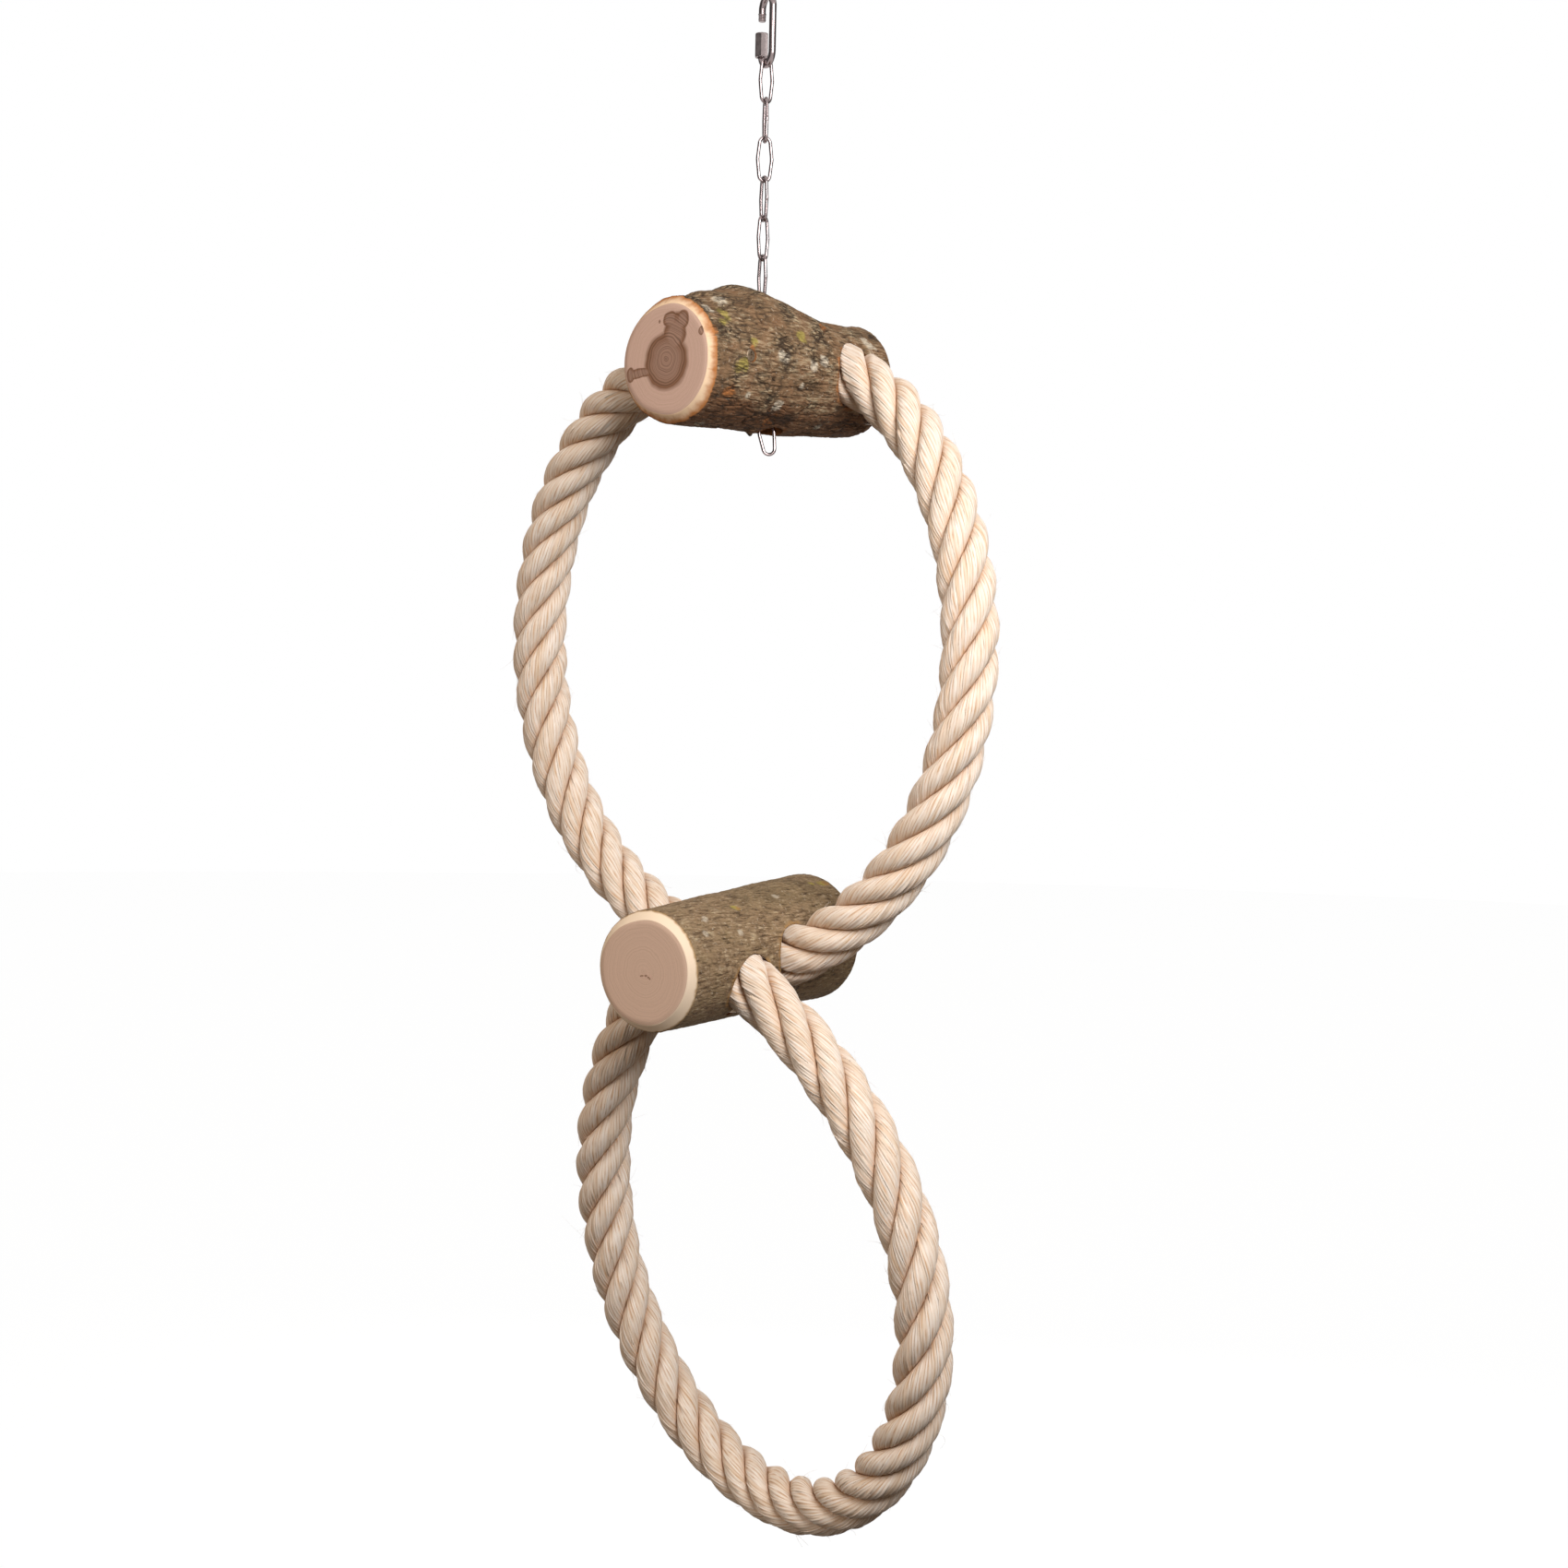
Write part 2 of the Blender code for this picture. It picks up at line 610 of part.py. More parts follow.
def bore_cutter():
    """Bore for the chain, leaning from the upper mouth, where the chain goes in."""
    depth = BORE_MOUTH_RISE + UPPER_NEAR_RADIUS + KNOT_HEIGHT + CUT_MARGIN
    bore = turned_mesh("chain_bore", [(CHAIN_BORE / 2, -depth), (CHAIN_BORE / 2, KNOT_HEIGHT + CUT_MARGIN)])
    lean = Matrix.Rotation(BORE_LEAN_TURN, 4, "Z") @ Matrix.Rotation(-BORE_LEAN, 4, "Y")
    return cutter("chain_bore", bore, upper_frame() @ Matrix.Translation((0, 0, BORE_MOUTH_RISE)) @ lean)


def swing(carrier):
    """Everything that hangs on the pin: both logs, the ropes and their screws."""
    hub = pivot("swing_pivot", (0, 0, pin_height()))
    carry(hub, carrier)
    upper = log("upper_log", -UPPER_LOG_NEAR, UPPER_LOG_FAR, upper_radius, upper_bend, upper_frame())
    lower = log("lower_log", -LOWER_LOG_LENGTH / 2, LOWER_LOG_LENGTH / 2, lower_radius, straight,
                lower_frame())
    cut(upper, bore_cutter())

    ropes = {}
    for name, route in rope_routes().items():
        mesh = tube_mesh(name, route, ROPE_RADIUS, 12)
        smooth(mesh)
        ropes[name] = link_object(name, mesh, Matrix(), "natural_rope")
        head, tail = (upper, lower) if name.startswith("upper") else (lower, lower)
        cut(head, socket_cutter(name + "_first_socket", route))
        cut(tail, socket_cutter(name + "_last_socket", route[::-1]))

    held = {"rope_screw_upper_left": "upper_rope_left", "rope_screw_upper_right": "upper_rope_right",
            "rope_screw_lower_upper_ring_right": "upper_rope_right",
            "rope_screw_lower_upper_ring_left": "upper_rope_left",
            "rope_screw_lower_lower_ring_right": "lower_ring_rope",
            "rope_screw_lower_lower_ring_left": "lower_ring_rope"}
    pieces = [upper, lower, *ropes.values(), chain_pin(upper)]
    for name, frame, length in screw_frames():
        wood = upper if "screw_upper" in name else lower
        pieces.append(screw(name, frame, length, wood, [ropes[held[name]]]))
    for piece in pieces:
        carry(piece, hub)


def main():
    clear_scene()
    body = quick_link()
    links = chain(body)
    swing(links[PINNED_LINK - 1])


main()
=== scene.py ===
"""Dresses the double ring bird swing: laid rope, bark logs, steel chain and a plain studio.

Metres, +Z up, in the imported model's own frame: the origin is where the swing hangs, the upper log
lies along Y with its near end at -Y, and the rings spread along X.
"""
import json
import math

import bpy
import numpy as np
from mathutils import Matrix, Vector


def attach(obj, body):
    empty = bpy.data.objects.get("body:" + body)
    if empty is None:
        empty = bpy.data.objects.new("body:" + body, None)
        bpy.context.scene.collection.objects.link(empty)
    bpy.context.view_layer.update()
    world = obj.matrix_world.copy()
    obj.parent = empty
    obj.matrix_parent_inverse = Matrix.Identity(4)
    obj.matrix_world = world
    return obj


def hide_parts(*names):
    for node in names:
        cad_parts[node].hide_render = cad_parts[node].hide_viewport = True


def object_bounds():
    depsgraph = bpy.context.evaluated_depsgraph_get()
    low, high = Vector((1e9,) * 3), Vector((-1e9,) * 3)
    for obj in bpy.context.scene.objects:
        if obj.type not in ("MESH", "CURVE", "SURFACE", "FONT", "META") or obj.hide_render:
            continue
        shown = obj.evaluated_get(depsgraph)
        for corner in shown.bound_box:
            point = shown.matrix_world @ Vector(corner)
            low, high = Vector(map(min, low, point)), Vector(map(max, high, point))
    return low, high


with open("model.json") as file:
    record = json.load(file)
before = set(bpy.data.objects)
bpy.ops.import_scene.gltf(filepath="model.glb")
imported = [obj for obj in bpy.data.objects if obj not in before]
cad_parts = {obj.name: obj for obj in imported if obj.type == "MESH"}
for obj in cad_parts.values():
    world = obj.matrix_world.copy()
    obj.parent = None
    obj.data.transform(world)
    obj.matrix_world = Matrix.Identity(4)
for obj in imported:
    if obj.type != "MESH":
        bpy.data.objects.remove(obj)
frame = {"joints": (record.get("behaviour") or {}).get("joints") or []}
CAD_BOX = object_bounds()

bl_info = {
    "name": "Double ring bird swing",
    "version": (1, 0, 0),
    "blender": (4, 5, 0),
    "location": "View3D > Sidebar > Swing",
    "description": "Ropes, logs, chain and studio for a double ring bird swing",
    "category": "Object",
}

TURN = 2 * math.pi

# Sizes and places repeated from the part, in metres and radians
SEAT_GAP = 0.0003
QUICK_WIRE = 0.004
QUICK_SPACING = 0.0135
QUICK_INNER_LENGTH = 0.034
QUICK_TURN = math.radians(-63)
STUB_LENGTH = 0.0042
STUB_SWELL = 1.1
GATE_GAP = 0.0065
NUT_ACROSS_FLATS = 0.007
NUT_LENGTH = 0.0135
NUT_SINK = 0.0015
NUT_CORNER = 0.0006
THREAD_IN_NUT = 0.0125
HOLE_CLEARANCE = 0.0003

CHAIN_WIRE = 0.002
CHAIN_PITCH = 0.022
LINK_WIDTH = 0.0105
LINK_END_RADIUS = 0.0032
LINK_TURNS_DEG = (38, 102, 20, 114, 52, 118, 2, 63, 122, 181)
LAST_LINK_SHIFT = 0.003
LAST_LINK_LEAN = math.radians(-3)
VIEW_TURN = math.radians(-47.6)

PIN_HEIGHT = next(j["pos_m"][2] for j in frame["joints"] if j["name"] == "swing_hinge")
PIN_RISE = 0.0031
UPPER_LOG_NEAR = 0.075
UPPER_LOG_FAR = 0.080
UPPER_NEAR_RADIUS = 0.0355
UPPER_FAR_RADIUS = 0.0325
UPPER_BEND = 0.0035
KNOT_HEIGHT = 0.0122
KNOT_PLACE = -0.021
KNOT_NEAR_LENGTH = 0.024
KNOT_FAR_LENGTH = 0.040
KNOT_WIDTH = math.radians(52)
LOWER_LOG_HANG = np.array((-0.0062, -0.0087, -0.3291))
LOWER_LOG_YAW = math.radians(5.4)
LOWER_LOG_TILT = math.radians(3.5)
LOWER_LOG_LENGTH = 0.152
LOWER_NEAR_RADIUS = 0.0345
LOWER_FAR_RADIUS = 0.0380
CHAMFER_IN = 0.0045
CHAMFER_BACK = 0.0045
BARK_WAVE = 0.0009

SOCKET_DEPTH = 0.024
SOCKET_RADIUS = 0.0165
UPPER_MOUTH_INSET = 0.001
LOWER_MOUTH_INSET = 0.0042
UPPER_RIGHT = {"side": 1, "place": 0.0445, "slope": math.radians(24), "reach": (0.1206, 0.1738), "skew": 0}
UPPER_LEFT = {"side": -1, "place": -0.037, "slope": math.radians(9), "reach": (0.1242, 0.1902),
              "skew": -0.078}
LOWER_ENTRY_PLACE = 0.0156
LOWER_ENTRY_SLOPE = math.radians(22.5)
LOWER_ENTRY_RISE = -0.0007
LOOP_PLACE = -0.0238
LOOP_RISE = -0.0114
LOOP_RIGHT = {"side": 1, "slope": math.radians(33.9), "reach": 0.2249}
LOOP_LEFT = {"side": -1, "slope": math.radians(48.4), "reach": 0.1646}
LOOP_HANG = np.array((0.0191, 0.0328, -0.3186))
LOOP_BOTTOM_TURN = math.radians(-9.3)
LOOP_BOTTOM_REACH = 0.1214

SCREW_DIAMETER = 0.0035
SCREW_HEAD = 0.007
SCREW_HEAD_HEIGHT = 0.0022
SCREW_POINT = 0.005
LONG_SCREW = 0.050
SHORT_SCREW = 0.024
SCREW_OFFSET = 0.008
LEFT_SCREW_RISE = 0.003
RIGHT_SCREW_RISE = 0.008
LOWER_SCREW_REACH = 0.020
PIN_DIAMETER = 0.003
PIN_HEAD = 0.006
PIN_HEAD_HEIGHT = 0.0016
PIN_END_COVER = 0.006
CHAIN_BORE = 0.016
BORE_LEAN = math.radians(4.2)
BORE_MOUTH_RISE = 0.042

# The photograph's camera
CAMERA_PLACE = (0.9695, -1.0343, -0.3810)
CAMERA_AZIMUTH = math.radians(42.407)
CAMERA_PITCH = math.radians(2.419)
CAMERA_ROLL = math.radians(1.205)


def linear(code):
    """Linear red, green and blue of an sRGB hex code."""
    share = np.array([int(code[i:i + 2], 16) for i in (1, 3, 5)]) / 255
    return np.where(share <= 0.04045, share / 12.92, ((share + 0.055) / 1.055) ** 2.4).tolist()


def length_prop(name, description, default):
    """Length in metres for a panel."""
    return bpy.props.FloatProperty(name=name, description=description, default=default, unit="LENGTH",
                                   precision=5)


def power_prop(name, description, default):
    """Lamp's power in watts for a panel."""
    return bpy.props.FloatProperty(name=name, description=description, default=default, unit="POWER")


def colour_prop(name, description, code):
    """Colour for a panel, from its sRGB hex code."""
    return bpy.props.FloatVectorProperty(name=name, description=description, default=linear(code),
                                         subtype="COLOR", size=3, min=0, max=1)


class SwingRope(bpy.types.PropertyGroup):
    """Four-strand laid rope of both rings."""
    diameter: length_prop("Diameter", "Across the laid rope", 0.032)
    lay: length_prop("Lay", "Rope length in which a strand goes once round", 0.098)
    yarns: bpy.props.IntProperty(name="Yarns", description="Yarns round each strand", default=27, min=8)
    yarn_depth: length_prop("Yarn depth", "Depth of the grooves between yarns", 0.00026)
    yarn_turn: length_prop("Yarn turn", "Rope length in which a yarn goes once round its strand", 0.0477)
    row_step: length_prop("Row step", "Spacing of the mesh rows along a strand", 0.0017)
    stray: bpy.props.IntProperty(name="Stray fibres", description="Stray fibres on a metre of rope",
                                 default=1500, min=0)
    yarn: colour_prop("Yarn", "Hemp in the light", "#F1E0D0")
    yarn_pale: colour_prop("Pale yarn", "Bleached fibres", "#FAF1E8")
    yarn_dark: colour_prop("Dark yarn", "Unbleached fibres", "#E3C8AB")
    # Painted shade mixed into the rope where the strands meet, on their flanks and between yarns
    groove_shade: colour_prop("Groove", "Between the strands", "#C79C73")


class SwingLogs(bpy.types.PropertyGroup):
    """Two sawn lengths of branch with their bark on."""
    column_step: length_prop("Column step", "Spacing of the mesh columns round the bark", 0.00072)
    row_step: length_prop("Row step", "Spacing of the mesh rows along the bark", 0.00076)
    bark: colour_prop("Rough bark", "Upper log", "#886E52")
    bark_pale: colour_prop("Rough bark, weathered", "Upper log's ridges", "#C9B796")
    # Darker red-brown of the upper log's lower side, partly its own colour and partly painted shade; also
    # its random warm patches
    bark_warm: colour_prop("Rough bark, low side", "Red-brown lower side of the upper log", "#7C5337")
    crack: colour_prop("Crack", "Bottom of the bark's cracks", "#2E2117")
    rind: colour_prop("Upper rind", "Inner bark of the upper log", "#B0713F")
    smooth_bark: colour_prop("Smooth bark", "Lower log", "#93795C")
    smooth_pale: colour_prop("Smooth bark, speckles", "Lower log's lenticels", "#CDB897")
    smooth_green: colour_prop("Smooth bark, algae", "Green tinge on the lower log", "#857254")
    smooth_rind: colour_prop("Lower rind", "Inner bark of the lower log", "#A98250")
    lichen: colour_prop("Pale lichen", "Grey-white crust", "#D4C7B2")
    yellow: colour_prop("Yellow lichen", "Yellow-green crust", "#A89850")
    sapwood: colour_prop("Sapwood", "Fresh chamfers of the lower log", "#F3DDC3")
    warm_sapwood: colour_prop("Warm sapwood", "Fresh chamfers of the upper log", "#F0D2B0")
    end_face: colour_prop("Upper end", "Sawn end of the upper log", "#D1B09F")
    heartwood: colour_prop("Heartwood", "Brown core of the upper log", "#7C5236")
    lower_end: colour_prop("Lower end", "Sawn end of the lower log", "#D8B9A4")


class SwingMetal(bpy.types.PropertyGroup):
    """Chain, quick link and fasteners."""
    steel: colour_prop("Stainless steel", "Chain and quick link", "#9A8B8A")
    nut_steel: colour_prop("Nut steel", "Turned nut of the quick link", "#AC9E9C")
    zinc: colour_prop("Zinc", "Screws and pin", "#8C7A66")
    thread_pitch: length_prop("Thread pitch", "Quick link thread", 0.0007)
    thread_depth: length_prop("Thread depth", "Quick link thread", 0.0003)


class SwingStudio(bpy.types.PropertyGroup):
    """Floor, light and camera."""
    floor_drop: length_prop("Floor drop", "Floor below the lower ring", 0.34)
    lens: bpy.props.FloatProperty(name="Lens", description="Focal length in mm", default=57.18)
    ambient: bpy.props.FloatProperty(name="Ambient", description="Light of the white room", default=0.19)
    key: power_prop("Key", "Soft lamp by the camera", 13.1)
    fill: power_prop("Fill", "Soft lamp on the left", 12.5)
    back: power_prop("Back", "Soft lamp behind the swing", 13.0)


# Arrays and curves

NOISE_ROWS = 199


def smooth_step(low, high, value):
    """0 below low, 1 above high, and 3t^2 - 2t^3 between; low may be the larger."""
    t = np.clip((value - low) / (high - low), 0, 1)
    return t * t * (3 - 2 * t)


def saw(turns):
    """Triangle wave from 0 to 1 and back: 1 at whole turns, 0 half-way."""
    return np.abs(turns % 1 - 0.5) * 2


def unit(vectors):
    """Vectors divided by their lengths."""
    return vectors / np.linalg.norm(vectors, axis=-1, keepdims=True)


def spin(angle, axis):
    """4x4 turn about X, Y or Z."""
    return np.array(Matrix.Rotation(angle, 4, axis))


def shift(place):
    """4x4 move."""
    return np.array(Matrix.Translation(place))


def placed(matrix, points):
    """Points carried by a 4x4 matrix."""
    return np.asarray(points) @ matrix[:3, :3].T + matrix[:3, 3]


def turned_from(middle, angle):
    """Angle from a middle one, from -pi to pi."""
    return np.angle(np.exp(1j * (angle - middle)))


def noise(across, along, cells, seed):
    """Value noise from -1 to 1: random lattice heights, blended smoothly; across repeats after cells."""
    lattice = np.random.default_rng(seed).uniform(-1, 1, (NOISE_ROWS, cells))
    column, row = np.floor(across).astype(int), np.floor(along).astype(int)
    x, y = smooth_step(0, 1, across - column), smooth_step(0, 1, along - row)
    left, right = column % cells, (column + 1) % cells
    near, far = row % NOISE_ROWS, (row + 1) % NOISE_ROWS
    return ((lattice[near, left] * (1 - x) + lattice[near, right] * x) * (1 - y)
            + (lattice[far, left] * (1 - x) + lattice[far, right] * x) * y)


def noise_round(place, angle, cells, step, seed):
    """Noise with so many cells round a log or strand, and one cell a step along it."""
    return noise(angle / TURN * cells, place / step, cells, seed)


def bezier(first, leave, arrive, last, count=600):
    """Cubic Bezier: (1-t)^3 P0 + 3t(1-t)^2 P1 + 3t^2(1-t) P2 + t^3 P3."""
    t = np.linspace(0, 1, count)[:, None]
    return (first * (1 - t) ** 3 + leave * 3 * t * (1 - t) ** 2
            + arrive * 3 * t * t * (1 - t) + last * t ** 3)


def along(points):
    """Length along a polyline at each of its points."""
    return np.concatenate(([0], np.cumsum(np.linalg.norm(np.diff(points, axis=0), axis=1))))


def read_at(points, places):
    """Points of a polyline at the given lengths along it."""
    lengths = along(points)
    return np.stack([np.interp(places, lengths, points[:, axis]) for axis in range(3)], axis=1)


def cross_axes(path, across, closed=False):
    """Side and normal along a path; the side stays as near as it can to one direction."""
    if closed:
        tangent = unit(np.roll(path, -1, axis=0) - np.roll(path, 1, axis=0))
    else:
        tangent = unit(np.gradient(path, axis=0))
    across = np.array(across, float)
    side = unit(across - (tangent @ across)[:, None] * tangent)
    return side, np.cross(tangent, side)


def swept(path, radius, columns, across, closed=False):
    """Tube: P(s, q) = path(s) + radius(s, q) (cos q side(s) + sin q normal(s))."""
    side, normal = cross_axes(path, across, closed)
    angle = np.arange(columns) * TURN / columns
    radius = np.broadcast_to(radius, (len(path), columns))[..., None]
    ring = np.cos(angle)[:, None] * side[:, None] + np.sin(angle)[:, None] * normal[:, None]
    return path[:, None] + radius * ring


def turned(radius, angle, level):
    """Grid about Z: (r cos q, r sin q, level)."""
    return np.stack(np.broadcast_arrays(radius * np.cos(angle), radius * np.sin(angle), level), axis=-1)


# Meshes

def surface(name, grid, closed=False, uv=None, values=None):
    """Mesh of a grid that wraps round its columns; its rows wrap too if closed, or else end in poles.

    uv is a grid with one more column than the points, and values are named numbers, one for each point.
    """
    rows, columns = grid.shape[:2]
    index = np.arange(rows * columns).reshape(rows, columns)
    beside = np.roll(index, -1, axis=1)
    low = np.arange(rows if closed else rows - 1)
    high = (low + 1) % rows
    quads = np.stack([index[low], beside[low], beside[high], index[high]], axis=-1).reshape(-1, 4)
    points = grid.reshape(-1, 3)
    corners, starts = quads.ravel(), np.arange(len(quads)) * 4
    if not closed:
        first, last = len(points), len(points) + 1
        points = np.concatenate([points, grid[[0, -1]].mean(axis=1)])
        near = np.stack([np.full(columns, first), beside[0], index[0]], axis=-1)
        far = np.stack([np.full(columns, last), index[-1], beside[-1]], axis=-1)
        starts = np.concatenate([starts, len(corners) + np.arange(2 * columns) * 3])
        corners = np.concatenate([corners, near.ravel(), far.ravel()])
    mesh = bpy.data.meshes.new(name)
    mesh.vertices.add(len(points))
    mesh.vertices.foreach_set("co", points.astype(np.float32).ravel())
    mesh.loops.add(len(corners))
    mesh.loops.foreach_set("vertex_index", corners.astype(np.int32))
    mesh.polygons.add(len(starts))
    mesh.polygons.foreach_set("loop_start", starts.astype(np.int32))
    mesh.update(calc_edges=True)
    if uv is not None:
        left, right = uv[:, :-1], uv[:, 1:]
        wrapped = np.stack([left[low], right[low], right[high], left[high]], axis=-2).reshape(-1, 2)
        if not closed:
            ends = [(uv[0], right[0], left[0]), (uv[-1], left[-1], right[-1])]
            fans = [np.stack([np.broadcast_to(whole.mean(axis=0), a.shape), a, b], axis=-2).reshape(-1, 2)
                    for whole, a, b in ends]
            wrapped = np.concatenate([wrapped, *fans])
        mesh.uv_layers.new(name="pattern").data.foreach_set("uv", wrapped.astype(np.float32).ravel())
    for label, numbers in (values or {}).items():
        if not closed:
            numbers = np.concatenate([numbers.ravel(), numbers[[0, -1]].mean(axis=1)])
        stored = mesh.attributes.new(label, "FLOAT", "POINT")
        stored.data.foreach_set("value", numbers.astype(np.float32).ravel())
    mesh.validate()
    mesh.shade_smooth()
    return mesh


def add_object(name, data):
    """New object at the origin, in the scene."""
    made = bpy.data.objects.new(name, data)
    bpy.context.scene.collection.objects.link(made)
    return made


def add_piece(name, mesh, body, material, slot, *nodes):
    """Object that rides on a body, wears a material and stands for CAD nodes."""
    piece = add_object(name, mesh)
    mesh.materials.append(material)
    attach(piece, body)
    if nodes:
        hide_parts(*nodes)
    return piece


# Materials

def plug(tree, socket, value):
    """Link a socket to an output, or set it; a colour gets its alpha."""
    if isinstance(value, bpy.types.NodeSocket):
        tree.links.new(value, socket)
    elif socket.type == "RGBA" and len(value) == 3:
        socket.default_value = (*value, 1)
    else:
        socket.default_value = value


def node(tree, kind, inputs=None, **settings):
    """Add a node, set its settings, fill or link its inputs, and give back its first live output."""
    made = tree.nodes.new("ShaderNode" + kind)
    for label, value in settings.items():
        setattr(made, label, value)
    named = {socket.name: socket for socket in reversed(made.inputs) if socket.enabled}
    for key, value in (inputs or {}).items():
        plug(tree, made.inputs[key] if isinstance(key, int) else named[key], value)
    return next((socket for socket in made.outputs if socket.enabled), None)


def blank_material(name):
    """New material with its tree and Principled shader."""
    material = bpy.data.materials.new(name)
    material.use_nodes = True
    return material, material.node_tree, material.node_tree.nodes["Principled BSDF"]


def wear(tree, shader, **inputs):
    """Set or link the shader's sockets; names use _ for spaces."""
    for label, value in inputs.items():
        plug(tree, shader.inputs[label.replace("_", " ")], value)


def repeats(size):
    """Scale of a pattern whose features have this size in millimetres."""
    return 1000 / size


def rope_material(looks):
    """Laid hemp: dry, pale plant fibre, matt with a faint sheen along the yarns, with painted tan shade in
    the grooves and on the strands' flanks.
    """
    material, tree, shader = blank_material("laid_hemp")
    tone, groove_shade = [node(tree, "Attribute", attribute_name=label).node.outputs["Fac"]
                    for label in ("tone", "groove_shade")]
    turns = node(tree, "UVMap", uv_map="pattern")
    # Fibres 0.35 mm wide and 7 mm long, coarser than real hemp so that they show
    girth = looks.diameter * STRAND_GIRTH
    stretched = node(tree, "Mapping", {"Vector": turns, "Scale": (girth * repeats(0.35), repeats(7), 1)})
    fibre = node(tree, "TexNoise", {"Vector": stretched, "Scale": 1.0, "Detail": 2.0, "Roughness": 0.6},
                 noise_dimensions="2D")
    streak = node(tree, "MapRange", {"Value": fibre, "From Min": 0.3, "From Max": 0.7})
    colour = looks.yarn
    for cover, shade in ((streak, looks.yarn_pale), (tone, looks.yarn_dark), (groove_shade, looks.groove_shade)):
        colour = node(tree, "Mix", {"Factor": cover, "A": colour, "B": shade}, data_type="RGBA")
    bump = node(tree, "Bump", {"Strength": 0.5, "Distance": 0.0002, "Height": fibre})
    wear(tree, shader, Base_Color=colour, Roughness=0.92, Sheen_Weight=0.04, Sheen_Roughness=0.5,
         IOR=1.53, Specular_IOR_Level=0.12, Normal=bump)
    return material


def stray_material(looks):
    """Single hemp fibres: pale and a little glossier than the rope, so that they catch the light."""
    material, tree, shader = blank_material("stray_hemp_fibre")
    place = node(tree, "TexCoord").node.outputs["Object"]
    tint = node(tree, "TexNoise", {"Vector": place, "Scale": repeats(20)})
    colour = node(tree, "Mix", {"Factor": tint, "A": looks.yarn, "B": looks.yarn_pale}, data_type="RGBA")
    wear(tree, shader, Base_Color=colour, Roughness=0.6, IOR=1.53, Specular_IOR_Level=0.3)
    return material


